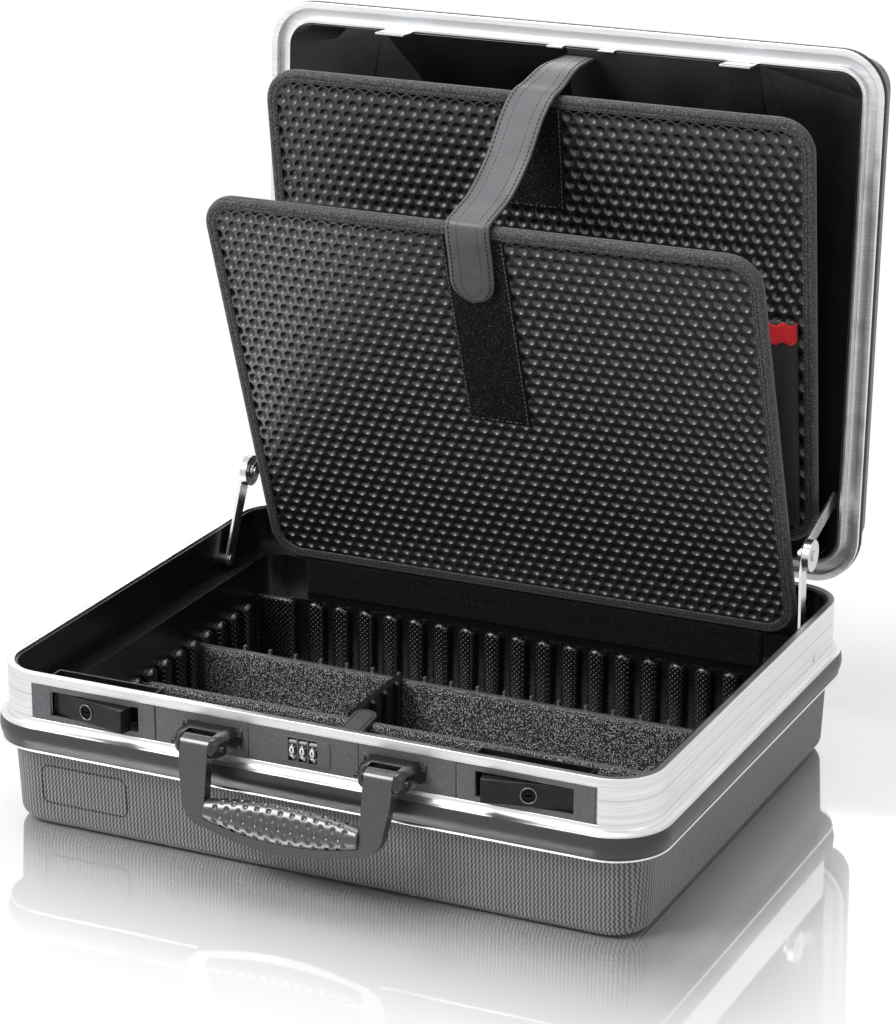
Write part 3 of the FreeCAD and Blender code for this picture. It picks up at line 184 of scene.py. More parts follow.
def surface(name, roughness=0.5, metallic=0.0, shine=0.5, sheen=0.0):
    """New material with a Principled shader; returns it with its tree, shader and object coordinates."""
    material = bpy.data.materials.new(name)
    material.use_nodes = True
    tree = material.node_tree
    tree.nodes.clear()
    shader = add(tree, "BsdfPrincipled", {"Roughness": roughness, "Metallic": metallic,
                                          "Specular IOR Level": shine, "Sheen Weight": sheen})
    add(tree, "OutputMaterial", {"Surface": shader.outputs["BSDF"]})
    place = add(tree, "TexCoord").outputs["Object"]
    return material, tree, shader, place


def link(tree, source, node, name):
    tree.links.new(source, node.inputs[name])


def math_node(tree, operation, a, b=0.0):
    return add(tree, "Math", {0: a, 1: b}, operation=operation).outputs[0]


def ramp(tree, value, low, high, start=0.0, end=1.0):
    """Value mapped from low..high to start..end, clamped."""
    return add(tree, "MapRange", {"Value": value, "From Min": low, "From Max": high,
                                  "To Min": start, "To Max": end}).outputs["Result"]


def mixed(tree, share, first, second):
    """Colour between two by a share, each an sRGB hex value or a socket."""
    first, second = (linear(c) if isinstance(c, str) else c for c in (first, second))
    return add(tree, "Mix", {0: share, 6: first, 7: second}, data_type="RGBA").outputs[2]


def vector_node(tree, operation, a, b=(0, 0, 0)):
    return add(tree, "VectorMath", {0: a, 1: b}, operation=operation).outputs[0]


def split(tree, vector):
    """The x, y and z of a vector."""
    return add(tree, "SeparateXYZ", {0: vector}).outputs[:]


def noise(tree, place, grain_mm, detail=2.0, stretch=(1, 1, 1)):
    """Noise whose grains are about grain_mm wide, stretched along the axes."""
    scaled = vector_node(tree, "MULTIPLY", place, stretch)
    scale = 1 / (grain_mm * MM)
    return add(tree, "TexNoise", {"Vector": scaled, "Scale": scale, "Detail": detail}).outputs[0]


def bump(tree, shader, height, depth_mm, strength=1.0, below=None):
    """Bump of a given depth on the shader's normal; below is a bump that it lies on."""
    inputs = {"Height": height, "Distance": depth_mm * MM, "Strength": strength}
    if below is not None:
        inputs["Normal"] = below
    node = add(tree, "Bump", inputs)
    link(tree, node.outputs["Normal"], shader, "Normal")
    return node.outputs["Normal"]


def across_and_up(tree, place):
    """Coordinates that lie in the wall: across it, and up or back, whichever wall it is."""
    x, y, z = split(tree, place)
    normal = add(tree, "VectorTransform", {0: add(tree, "NewGeometry").outputs["True Normal"]},
                 vector_type="NORMAL", convert_from="WORLD", convert_to="OBJECT").outputs[0]
    size_x, size_y, size_z = split(tree, vector_node(tree, "ABSOLUTE", normal))
    sideways = math_node(tree, "GREATER_THAN", size_x, size_y)
    level = math_node(tree, "GREATER_THAN", size_z, 0.75)
    across = add(tree, "Mix", {0: sideways, 2: x, 3: y}).outputs[0]
    across = add(tree, "Mix", {0: level, 2: across, 3: x}).outputs[0]
    up = add(tree, "Mix", {0: level, 2: z, 3: y}).outputs[0]
    return across, up


def crossing_waves(tree, first, second, pitch_mm):
    """Product of two sine waves of one pitch, each along its own way."""
    turn = 2 * math.pi / (pitch_mm * MM)
    waves = [math_node(tree, "SINE", math_node(tree, "MULTIPLY", way, turn)) for way in (first, second)]
    return math_node(tree, "MULTIPLY", *waves)


def seen_rays(tree):
    """One for the rays by which a thing is seen, straight or in a mirror or through glass, else zero."""
    rays = add(tree, "LightPath").outputs
    seen = math_node(tree, "MAXIMUM", rays["Is Camera Ray"], rays["Is Glossy Ray"])
    return math_node(tree, "MAXIMUM", seen, rays["Is Transmission Ray"])


def moulded_shell():
    """ABS, injection moulded against an etched mould: satin, with a relief of upright zigzag lines."""
    material, tree, shader, place = surface("abs_zigzag_moulded")
    pitch = sizes().relief_pitch * MM
    across, up = across_and_up(tree, place)
    sway = math_node(tree, "PINGPONG", up, 1.9 * MM)
    phase = math_node(tree, "ADD", across, math_node(tree, "MULTIPLY", sway, 0.5))
    wave = math_node(tree, "SINE", math_node(tree, "MULTIPLY", phase, 2 * math.pi / pitch))
    # The relief's grooves are painted darker than its crests: painted shade in the hollows.
    shaded_grooves = mixed(tree, ramp(tree, wave, -0.6, 1.0), "#3a3b3d", colours().shell)
    cloud = ramp(tree, noise(tree, place, 60, 2), 0.35, 0.65, 0, 0.12)
    link(tree, mixed(tree, cloud, shaded_grooves, "#66676a"), shader, "Base Color")
    link(tree, ramp(tree, noise(tree, place, 1.2), 0.3, 0.7, 0.36, 0.48), shader, "Roughness")
    grain = bump(tree, shader, noise(tree, place, 0.8), 0.05, 0.5)
    bump(tree, shader, wave, 0.28, 1.0, grain)
    return material


def brushed_aluminium():
    """Extruded aluminium, brushed and clear anodised: fine scratches and drawn lines along each wall."""
    material, tree, shader, place = surface("anodised_aluminium_brushed", metallic=1.0)
    scratches = noise(tree, place, 0.7, 2, (0.015, 0.015, 1))
    _, y, z = split(tree, place)
    # The open lid's walls run up and across, so its lines are counted by depth and the base's by height.
    in_lid = math_node(tree, "GREATER_THAN", z, 0.113)
    level = add(tree, "Mix", {0: in_lid, 2: z, 3: y}).outputs[0]
    line = ramp(tree, math_node(tree, "PINGPONG", level, 4.7 * MM), 0.0, 0.4 * MM)
    other = ramp(tree, math_node(tree, "PINGPONG", level, 7.9 * MM), 0.0, 0.6 * MM)
    drawn = math_node(tree, "MULTIPLY", line, other)
    tone = mixed(tree, ramp(tree, scratches, 0.35, 0.65), "#d8d9db", colours().frame_metal)
    link(tree, mixed(tree, drawn, "#c2c4c6", tone), shader, "Base Color")
    link(tree, ramp(tree, scratches, 0.3, 0.7, 0.3, 0.38), shader, "Roughness")
    fine = bump(tree, shader, scratches, 0.008, 0.3)
    bump(tree, shader, drawn, 0.03, 0.4, fine)
    return material


def plain_metal(name, colour, roughness, grain_mm=0.4):
    """Metal, polished or plated: a faint lengthwise grain."""
    material, tree, shader, place = surface(name, metallic=1.0)
    shader.inputs["Base Color"].default_value = linear(colour)
    grain = noise(tree, place, grain_mm, 2, (1, 0.15, 0.15))
    link(tree, ramp(tree, grain, 0.3, 0.7, roughness * 0.8, roughness * 1.25), shader, "Roughness")
    bump(tree, shader, grain, 0.02, 0.3)
    return material


def moulded(name, colour, roughness, grain_mm, depth_mm, fleck=None):
    """Moulded plastic: a fine spark-eroded grain and a slightly uneven gloss."""
    material, tree, shader, place = surface(name)
    grain = noise(tree, place, grain_mm, 3)
    tone = mixed(tree, ramp(tree, grain, 0.35, 0.7), colour, fleck or colour)
    link(tree, tone, shader, "Base Color")
    gloss = noise(tree, place, 25)
    link(tree, ramp(tree, gloss, 0.3, 0.7, roughness * 0.85, roughness * 1.15), shader, "Roughness")
    bump(tree, shader, grain, depth_mm, 0.6)
    return material


def satin(name, colour, roughness, shine):
    """Smooth moulded or lacquered skin: a satin film with faint scuffs."""
    material, tree, shader, place = surface(name, shine=shine)
    scuffs = noise(tree, place, 3.0, 3, (0.3, 1, 1))
    link(tree, mixed(tree, ramp(tree, scuffs, 0.45, 0.8, 0, 0.25), colour, "#3c3d3f"), shader, "Base Color")
    link(tree, ramp(tree, scuffs, 0.3, 0.7, roughness * 0.85, roughness * 1.15), shader, "Roughness")
    bump(tree, shader, noise(tree, place, 0.8), 0.02, 0.4)
    return material


def grained(name, grain, tones, share, gloss=None, relief=None, **finish):
    """Material whose colour, gloss and relief all follow one grain."""
    material, tree, shader, place = surface(name, **finish)
    height = noise(tree, place, *grain)
    link(tree, mixed(tree, ramp(tree, height, *share), *tones), shader, "Base Color")
    if gloss:
        link(tree, ramp(tree, height, 0.3, 0.7, *gloss), shader, "Roughness")
    if relief:
        bump(tree, shader, height, *relief)
    return material


def coated_plates():
    """Die-cast zinc, powder coated: an even grey with a fine orange-peel grain."""
    return grained("powder_coated_zinc", (0.9, 3), ("#48494c", colours().plate), (0.3, 0.7),
                   (0.44, 0.54), (0.08, 0.6))


def dotted_tray():
    """Black polypropylene, moulded: rows of fine dots with a painted highlight on their crowns."""
    material, tree, shader, place = surface("polypropylene_dotted", shine=0.9)
    across, up = across_and_up(tree, place)
    dots = crossing_waves(tree, across, up, sizes().rib_dot_pitch)
    grain = noise(tree, place, 0.9, 3)
    black = mixed(tree, ramp(tree, grain, 0.3, 0.7), "#050506", colours().tray)
    # Each dot's crown is painted paler, a painted highlight on its bump; only the ribs carry the dots, inside the
    # planes of the walls, so the slots between the ribs stay black as painted shade.
    inside = vector_node(tree, "MAXIMUM", vector_node(tree, "MULTIPLY", place, (-1, 1, 1)), place)
    dot_crown_highlight = ramp(tree, dots, 0.3, 0.9)
    limits = (RIB_WALL_SIDE - 0.8, RIB_WALL_REAR - 0.8, RIB_TOP - 0.5)
    for way, limit in zip(split(tree, inside), limits):
        dot_crown_highlight = math_node(tree, "MULTIPLY", dot_crown_highlight, math_node(tree, "LESS_THAN", way, limit * MM))
    link(tree, mixed(tree, dot_crown_highlight, black, "#333438"), shader, "Base Color")
    link(tree, ramp(tree, grain, 0.3, 0.7, 0.22, 0.36), shader, "Roughness")
    fine = bump(tree, shader, grain, 0.05, 0.4)
    bump(tree, shader, dot_crown_highlight, 0.3, 0.9, fine)
    return material


def speckled_foam():
    """Closed-cell foam skin, flocked: pale fibre ends between black ones, matt."""
    return grained("foam_flocked", (0.75, 2), ("#0b0b0c", "#d2d2d4"), (0.55, 0.62), relief=(0.35, 0.9),
                   roughness=0.9, sheen=0.1)


def fuzzy_pad():
    """Nylon loop fastener: matted loops, black with pale glints."""
    return grained("nylon_loop_pile", (0.85, 3), ("#040405", "#7b7c7f"), (0.6, 0.74), relief=(0.5, 1.0),
                   roughness=0.85, shine=0.2)


def fuzzy_strip():
    """Cotton velvet: short upright pile, nearly black, with a sheen along its edge."""
    return grained("cotton_velvet", (0.8, 3), ("#020203", "#3f4043"), (0.58, 0.75), relief=(0.4, 0.9),
                   roughness=0.95, shine=0.2, sheen=0.05)


def woven(name, colour, thread_mm, pale):
    """Woven polyester tape: a twill of round threads, slightly worn on the crowns."""
    material, tree, shader, place = surface(name, roughness=0.8, sheen=0.1)
    x, y, z = split(tree, place)
    across = math_node(tree, "ADD", x, y)
    weave = crossing_waves(tree, math_node(tree, "ADD", across, z), math_node(tree, "SUBTRACT", across, z),
                           thread_mm)
    fuzz = noise(tree, place, 1.0, 3)
    tone = math_node(tree, "ADD", math_node(tree, "MULTIPLY", weave, 0.16), fuzz)
    link(tree, mixed(tree, ramp(tree, tone, 0.42, 0.68), colour, pale), shader, "Base Color")
    bump(tree, shader, tone, 0.25, 0.8)
    return material


def leather(name, dark, colour):
    """Split leather, dyed and finished: fine pebble grain, soft gloss on the bends."""
    material, tree, shader, place = surface(name)
    pebbles = add(tree, "TexVoronoi", {"Vector": place, "Scale": 1 / (1.1 * MM)}).outputs["Distance"]
    cloud = noise(tree, place, 9, 3)
    link(tree, mixed(tree, ramp(tree, cloud, 0.3, 0.75), dark, colour), shader, "Base Color")
    link(tree, ramp(tree, cloud, 0.3, 0.7, 0.38, 0.48), shader, "Roughness")
    bump(tree, shader, pebbles, 0.1, 0.5)
    return material


def glossy_liner():
    """Polystyrene sheet, vacuum formed: smooth, deep black and glossy, a little wavy."""
    material, tree, shader, place = surface("polystyrene_formed")
    wave = noise(tree, place, 40, 2)
    fleck = ramp(tree, noise(tree, place, 1.0), 0.4, 0.7)
    link(tree, mixed(tree, fleck, "#0b0b0c", "#131314"), shader, "Base Color")
    link(tree, ramp(tree, wave, 0.3, 0.7, 0.3, 0.42), shader, "Roughness")
    bump(tree, shader, wave, 0.4, 0.4)
    return material


def perforated_sheet():
    """ABS sheet, thermoformed with a close grid of cups: satin face, shiny cups."""
    return grained("abs_sheet_cupped", (1.0, 3), ("#161718", colours().board), (0.35, 0.7),
                   (0.32, 0.42), (0.04, 0.4), shine=0.9)


def polished_cup():
    """ABS stretched over the mould's pegs: smoother and glossier than the sheet's face, darkened as painted shade.
    """
    return grained("abs_cup_polished_shaded", (1.4, 2), ("#060607", "#0b0b0c"), (0.35, 0.7), (0.36, 0.46),
                   shine=1.0)


def studio_floor():
    """Lacquered studio floor: pale, with a mirror image of the case that fades away from it."""
    material, tree, shader, place = surface("lacquered_floor")
    link(tree, mixed(tree, ramp(tree, noise(tree, place, 300), 0.3, 0.7), colours().floor, "#f6f6f6"),
         shader, "Base Color")
    pale = add(tree, "Emission", {"Color": (1, 1, 1, 1), "Strength": 1.0})
    mirror = add(tree, "BsdfGlossy", {"Color": (0.95, 0.95, 0.95, 1), "Roughness": 0.04})
    # Distance from the case's foot, half of whose width and depth are taken off first.
    outside = vector_node(tree, "SUBTRACT", vector_node(tree, "ABSOLUTE", place), (0.222, 0.178, 1))
    outside = vector_node(tree, "MAXIMUM", outside)
    near = add(tree, "VectorMath", {0: outside}, operation="LENGTH").outputs["Value"]
    shine = add(tree, "MapRange", {"Value": near, "From Max": 0.19, "To Min": 0.74, "To Max": 0.0},
                interpolation_type="SMOOTHSTEP").outputs["Result"]
    polished = add(tree, "MixShader", {0: shine, 1: shader.outputs[0], 2: mirror.outputs[0]})
    # The floor fades to plain white, for the camera and in reflections alike.
    share = math_node(tree, "MULTIPLY", ramp(tree, near, 0.02, 0.27), seen_rays(tree))
    both = add(tree, "MixShader", {0: share, 1: polished.outputs[0], 2: pale.outputs[0]})
    output = next(node for node in tree.nodes if node.type == "OUTPUT_MATERIAL")
    link(tree, both.outputs[0], output, "Surface")
    return material


MATERIALS = {}


def make_materials():
    MATERIALS.update(
        shell=moulded_shell(),
        aluminium=brushed_aluminium(),
        plates=coated_plates(),
        ear=satin("zinc_ear_lacquered", "#0e0e0f", 0.2, 0.6),
        lever=satin("zinc_lever_lacquered", "#060607", 0.3, 0.3),
        lip=satin("abs_lip_satin", "#0d0d0f", 0.5, 0.15),
        belt=satin("abs_belt_satin", "#303133", 0.36, 0.5),
        key=plain_metal("zinc_key_blackened", "#1d1e20", 0.3),
        lever_steel=plain_metal("steel_pins_plated", "#b9babc", 0.3),
        chrome=plain_metal("brass_nickel_worn", "#85868a", 0.3),
        housing=moulded("polyamide_black", "#09090a", 0.4, 0.8, 0.05, "#121213"),
        handle=satin("polyamide_handle", "#28292b", 0.27, 1.0),
        grip=satin("rubber_grip_moulded", "#2c2d2f", 0.25, 1.0),
        wheel=moulded("acetal_wheel", "#0e0e0f", 0.25, 0.8, 0.02),
        digits=moulded("enamel_digits", "#f2f2ee", 0.5, 0.6, 0.02),
        hinge=plain_metal("steel_hinge_plated", "#a9abad", 0.32),
        stay=plain_metal("steel_stay_polished", "#c9cacc", 0.24),
        tray=dotted_tray(),
        divider=moulded("polypropylene_divider", "#111112", 0.22, 0.9, 0.05, "#2b2c2f"),
        core=moulded("polypropylene_core", "#4b4c4f", 0.3, 0.9, 0.04, "#6b6c70"),
        foam=speckled_foam(),
        pad=fuzzy_pad(),
        board=perforated_sheet(),
        cup=polished_cup(),
        backing=woven("polyester_backing", "#101011", 1.8, "#2a2a2c"),
        binding=woven("polyester_binding", colours().binding, 1.6, "#6b6c70"),
        pouch=woven("nylon_pouch", "#0a0a0b", 1.6, "#2a2a2c"),
        elastic=woven("elastic_band_red", colours().elastic, 1.2, "#ee3038"),
        velvet=fuzzy_strip(),
        thread=moulded("polyester_thread", "#060607", 0.6, 0.5, 0.03, "#141415"),
        pale_thread=moulded("polyester_thread_pale", "#8b8c8f", 0.55, 0.5, 0.03),
        strap=leather("leather_strap", "#525356", colours().strap),
        tab=leather("leather_tab", "#47484a", "#545558"),
        liner=glossy_liner(),
        floor=studio_floor(),
    )


# Meshes
def placed(name, data):
    """New object in the scene."""
    obj = bpy.data.objects.new(name, data)
    bpy.context.scene.collection.objects.link(obj)
    return obj


def piece(name, points, faces, material, body, slot, sharp=None):
    """New smooth mesh piece in metres that rides on a body; edges above the angle sharp stay crisp."""
    mesh = bpy.data.meshes.new(name)
    mesh.from_pydata([tuple(p) for p in points], [], faces)
    mesh.update()
    bm = bmesh.new()
    bm.from_mesh(mesh)
    bmesh.ops.recalc_face_normals(bm, faces=bm.faces)
    bm.to_mesh(mesh)
    bm.free()
    mesh.materials.append(MATERIALS[material])
    mesh.shade_smooth()
    if sharp:
        mesh.set_sharp_from_angle(angle=math.radians(sharp))
    obj = placed(name, mesh)
    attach(obj, body)
    return obj


def slot_of(node):
    return {part["node"]: part["material_slot"] for part in frame["record"]["subparts"]}[node]


def box_mm(node):
    """Low and high corner of a node's box, in mm."""
    return [Vector([value / MM for value in corner]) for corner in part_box(node)]


def dress(node, material):
    """Gives a carried-over part its material."""
    data = NODES[node].data
    data.materials.clear()
    data.materials.append(MATERIALS[material])


def softened(node, material, radius, segments=2, angle=30, shape=None):
    """Copy of a part that stands for it, its edges above an angle broken to a radius in mm."""
    mesh = NODES[node].data.copy()
    bm = bmesh.new()
    bm.from_mesh(mesh)
    bmesh.ops.remove_doubles(bm, verts=bm.verts, dist=2e-6)
    bmesh.ops.dissolve_limit(bm, angle_limit=math.radians(1.5), verts=bm.verts, edges=bm.edges)
    if shape:
        shape(bm)
    edges = [e for e in bm.edges if len(e.link_faces) == 2 and e.calc_face_angle(0) > math.radians(angle)]
    bmesh.ops.bevel(bm, geom=edges, offset=radius * MM, segments=segments, profile=0.5, affect="EDGES",
                    clamp_overlap=True)
    bmesh.ops.triangulate(bm, faces=[f for f in bm.faces if len(f.verts) > 4])
    bm.to_mesh(mesh)
    bm.free()
    obj = placed(node + "_dressed", mesh)
    mesh.materials.clear()
    mesh.materials.append(MATERIALS[material])
    mesh.shade_smooth()
    mesh.set_sharp_from_angle(angle=math.radians(38))
    weights = obj.modifiers.new("weights", "WEIGHTED_NORMAL")
    weights.keep_sharp = True
    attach(obj, BODY_OF[node])
    slot_of(node)
    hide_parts(node)
    return obj


def rounded_path(x0, x1, y0, y1, radius, step):
    """Points and inward normals round a rectangle with round corners."""
    path = []
    corners = [(x1 - radius, y0 + radius, -90), (x1 - radius, y1 - radius, 0),
               (x0 + radius, y1 - radius, 90), (x0 + radius, y0 + radius, 180)]
    for index, (cx, cy, start) in enumerate(corners):
        count = max(3, round(radius * math.pi / 2 / step))
        arc = []
        for k in range(count + 1):
            angle = math.radians(start + 90 * k / count)
            arc.append((cx + radius * math.cos(angle), cy + radius * math.sin(angle),
                        -math.cos(angle), -math.sin(angle)))
        path += arc
        nx, ny, nstart = corners[(index + 1) % 4]
        angle = math.radians(nstart)
        end = (nx + radius * math.cos(angle), ny + radius * math.sin(angle))
        last = arc[-1]
        span = math.hypot(end[0] - last[0], end[1] - last[1])
        pieces = max(1, round(span / step))
        for k in range(1, pieces):
            share = k / pieces
            path.append((last[0] + (end[0] - last[0]) * share, last[1] + (end[1] - last[1]) * share,
                         last[2], last[3]))
    return path


def ring_faces(rings, count):
    """Faces of rings of count points, joined in a row and the last one to the first."""
    faces = []
    for i in range(rings):
        j = (i + 1) % rings
        for k in range(count):
            m = (k + 1) % count
            faces.append((i * count + k, j * count + k, j * count + m, i * count + m))
    return faces


def grid_faces(rows, columns, closed=False):
    faces = []
    for r in range(rows - 1):
        for c in range(columns if closed else columns - 1):
            d = (c + 1) % columns
            faces.append((r * columns + c, r * columns + d, (r + 1) * columns + d, (r + 1) * columns + c))
    return faces


def tube_faces(rings, count):
    """Faces of rings of count points, joined in a row, with both ends capped."""
    last = (rings - 1) * count
    caps = [list(range(count - 1, -1, -1)), [last + k for k in range(count)]]
    return grid_faces(rings, count, closed=True) + caps


def patch_rim(rows, columns):
    """Row and column of each corner round the rim of a patch of cells."""
    return ([(0, c) for c in range(columns + 1)] + [(r, columns) for r in range(1, rows + 1)]
            + [(rows, c) for c in range(columns - 1, -1, -1)] + [(r, 0) for r in range(rows - 1, 0, -1)])


def backed_patch(rows, columns, at, back):
    """Patch of cells closed by a flat back; at and back give the place of a row's and a column's corner."""
    points = [at(r, c) for r in range(rows + 1) for c in range(columns + 1)]
    faces = grid_faces(rows + 1, columns + 1)
    rim = patch_rim(rows, columns)
    ids = [r * (columns + 1) + c for r, c in rim]
    base = len(points)
    points += [back(r, c) for r, c in rim]
    for k in range(len(ids)):
        m = (k + 1) % len(ids)
        faces.append((ids[k], ids[m], base + m, base + k))
    faces.append([base + k for k in range(len(ids) - 1, -1, -1)])
    return points, faces


def stitch_rows(name, lines, material, body, slot, width=0.55, gap=0.75):
    """Stitches along lines of points with normals: short threads that dip into the cloth at their ends."""
    points, faces = [], []
    length = sizes().stitch_length * MM
    for line in lines:
        places = [Vector(p) for p, n in line]
        normals = [Vector(n).normalized() for p, n in line]
        runs = [0.0]
        for a, b in zip(places, places[1:]):
            runs.append(runs[-1] + (b - a).length)
        total = runs[-1]
        count = int(total / (length + gap * MM))
        if count < 1:
            continue
        space = total / count

        def spot(run):
            i = min(max(np.searchsorted(runs, run) - 1, 0), len(places) - 2)
            share = (run - runs[i]) / max(runs[i + 1] - runs[i], 1e-9)
            return places[i].lerp(places[i + 1], share), normals[i].lerp(normals[i + 1], share).normalized()

        for k in range(count):
            a, up = spot(k * space + gap * MM / 2)
            b, _ = spot((k + 1) * space - gap * MM / 2)
            along = (b - a).normalized()
            side = along.cross(up).normalized() * width * MM / 2
            rise = up * width * MM * 0.55
            # A stitch has three rings of four points, and a point at each end.
            base = len(points)
            middle = (a + b) / 2
            for centre, scale in ((a.lerp(middle, 0.25), 0.8), (middle, 1.0), (b.lerp(middle, 0.25), 0.8)):
                points += [centre + side * scale, centre + rise * scale + side * 0.5 * scale,
                           centre + rise * scale - side * 0.5 * scale, centre - side * scale]
            points += [a - up * 0.1 * MM, b - up * 0.1 * MM]
            for ring in range(2):
                for q in range(3):
                    n = base + ring * 4 + q
                    faces.append((n, n + 1, n + 5, n + 4))
            start, end = base + 12, base + 13
            for q in range(3):
                faces.append((start, base + q + 1, base + q))
                faces.append((end, base + 8 + q, base + 9 + q))
    return piece(name, points, faces, material, body, slot)


def slab_piece(name, node, low, high, radius, cell, material, lumps=0.0):
    """Soft block between two corners, in mm, which stands for a node: round edges, small lumps."""
    bm = bmesh.new()
    bmesh.ops.create_cube(bm, size=1)
    low, high = Vector(low), Vector(high)
    for v in bm.verts:
        v.co = Vector([low[i] if v.co[i] < 0 else high[i] for i in range(3)])
    spans = [high[i] - low[i] for i in range(3)]
    for axis in range(3):
        cuts = min(int(spans[axis] / cell), 260)
        for k in range(1, cuts):
            plane = Vector((0, 0, 0))
            plane[axis] = low[axis] + spans[axis] * k / cuts
            normal = Vector((0, 0, 0))
            normal[axis] = 1
            cut_all(bm, plane, normal)
    radius = min(radius, min(spans) / 2)
    draw = random.Random(1)
    for v in bm.verts:
        core = Vector([min(max(v.co[i], low[i] + radius), high[i] - radius) for i in range(3)])
        out = v.co - core
        if out.length > 1e-9:
            v.co = core + out.normalized() * (radius + lumps * (draw.random() - 0.7))
    points = [v.co * MM for v in bm.verts]
    bm.verts.index_update()
    faces = [[v.index for v in f.verts] for f in bm.faces]
    bm.free()
    obj = piece(name, points, faces, material, BODY_OF[node], slot_of(node))
    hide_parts(node)


def cut_all(bm, place, normal):
    """Cuts all edges and faces of a mesh along a plane."""
    bmesh.ops.bisect_plane(bm, geom=bm.verts[:] + bm.edges[:] + bm.faces[:],
                           plane_co=place, plane_no=normal)


def shut_place(point):
    """Where a point of the open lid lies when the lid is shut."""
    return LID_HINGE + SHUT @ (point - LID_HINGE)


# Tool boards
class Board:
    """Place of a tool board: x across, s up from its lower edge, depth behind its front face, all in mm."""

    def __init__(self, joint, tilt, behind):
        self.pivot = Vector(JOINTS[joint]["pos_m"]) / MM
        self.sine = math.sin(math.radians(tilt))
        self.cosine = math.cos(math.radians(tilt))
        self.behind = behind

    def at(self, x, s, depth=0.0):
        back = depth - self.behind
        return Vector((x, self.pivot[1] - s * self.sine + back * self.cosine,
                       self.pivot[2] + s * self.cosine + back * self.sine)) * MM

    def front(self):
        return Vector((0, -self.cosine, -self.sine))


def board_places():
    front = Board("front_board_hinge", FRONT_TILT, 0.0)
    rear = Board("rear_board_hinge", REAR_TILT, BOARD_THICK)
    return {"front": front, "rear": rear}


def held_in(x, s, margin):
    """Point pulled inside the board's rounded outline, margin in from its edge."""
    half = BOARD_WIDTH / 2 - margin
    low, high = margin, BOARD_HEIGHT - margin
    radius = BOARD_CORNER - margin
    x = min(max(x, -half), half)
    s = min(max(s, low), high)
    cx = min(max(x, -half + radius), half - radius)
    cs = min(max(s, low + radius), high - radius)
    far = math.hypot(x - cx, s - cs)
    if far > radius and abs(x) > half - radius:
        x = cx + (x - cx) * radius / far
        s = cs + (s - cs) * radius / far
    return x, s


def cupped_sheet(side, board):
    """Sheet with a close hexagonal grid of round cups; its edge lies under the tape."""
    pitch, width, depth = sizes().hole_pitch, sizes().hole_width, sizes().hole_depth
    row_step = pitch * math.sqrt(0.75)
    corner = pitch / math.sqrt(3)
    sheet_edge, cell_edge, cup_edge, first_row = 1.4, 2.4, width / 2 + 1.2, 13.2
    # Each cup is the cap of a sphere, with its mouth broken a little.
    mouth = 0.25
    rim = [(width / 2 + 0.2, 0.0), (width / 2, mouth)]
    steep = 2 * math.atan2(2 * depth, width)
    for share in (0.82, 0.6, 0.36, 0.16):
        turn = steep * share
        rise = (math.cos(turn) - math.cos(steep)) / (1 - math.cos(steep))
        rim.append((width / 2 * math.sin(turn) / math.sin(steep), mouth + (depth - mouth) * rise))
    sides = 12
    turns = [2 * math.pi * (k + 1) / sides for k in range(sides)]
    points, faces, known, bowls = [], [], {}, []

    def edge_point(x, s):
        key = (round(x * 20), round(s * 20))
        if key not in known:
            known[key] = len(points)
            points.append(board.at(*held_in(x, s, sheet_edge), BOARD_FACE))
        return known[key]

    rows = int(BOARD_HEIGHT / row_step) + 2
    columns = int(BOARD_WIDTH / pitch / 2) + 2
    for row in range(rows):
        s = BOARD_HEIGHT - first_row - row * row_step
        for column in range(-columns, columns + 1):
            x = column * pitch + (pitch / 2 if row % 2 else 0)
            if held_in(x, s, cell_edge) != (x, s):
                continue
            outer = []
            for k, turn in enumerate(turns):
                far = corner if k % 2 == 0 else pitch / 2
                outer.append(edge_point(x + far * math.cos(turn), s + far * math.sin(turn)))
            if held_in(x, s, cup_edge) != (x, s):
                # Under the tape the sheet is flat.
                faces.append(outer)
                continue
            ring = outer
            for step, (radius, down) in enumerate(rim):
                first = len(points)
                for turn in turns:
                    points.append(board.at(x + radius * math.cos(turn), s + radius * math.sin(turn),
                                           BOARD_FACE + down))
                new = list(range(first, first + sides))
                for k in range(sides):
                    m = (k + 1) % sides
                    if step > 1:
                        bowls.append(len(faces))
                    faces.append((ring[k], ring[m], new[m], new[k]))
                ring = new
            points.append(board.at(x, s, BOARD_FACE + depth))
            centre = len(points) - 1
            for k in range(sides):
                bowls.append(len(faces))
                faces.append((ring[k], ring[(k + 1) % sides], centre))
    sheet = piece(side + "_board_sheet", points, faces, "board", BODY_OF[side + "_board"], "board_plastic")
    # The bowls take the darker cup material: painted shade in the cups.
    sheet.data.materials.append(MATERIALS["cup"])
    for index in bowls:
        sheet.data.polygons[index].material_index = 1
    sheet.data.set_sharp_from_angle(angle=math.radians(50))
    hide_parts(side + "_board")


def board_path(inward, step):
    """Path round a board, some way in from its edge."""
    half = BOARD_WIDTH / 2 - inward
    return rounded_path(-half, half, inward, BOARD_HEIGHT - inward, BOARD_CORNER - inward, step)


def board_back(side, board):
    """Plain cloth over the board's back, under the tape all round."""
    inward = 3
    path = board_path(inward, 12)
    points = [board.at(x, s, depth) for depth in (5.6, BOARD_THICK - 1.0) for x, s, _, _ in path]
    back = piece(side + "_board_back", points, tube_faces(2, len(path)), "backing",
                 BODY_OF[side + "_board"], "board_plastic", sharp=30)


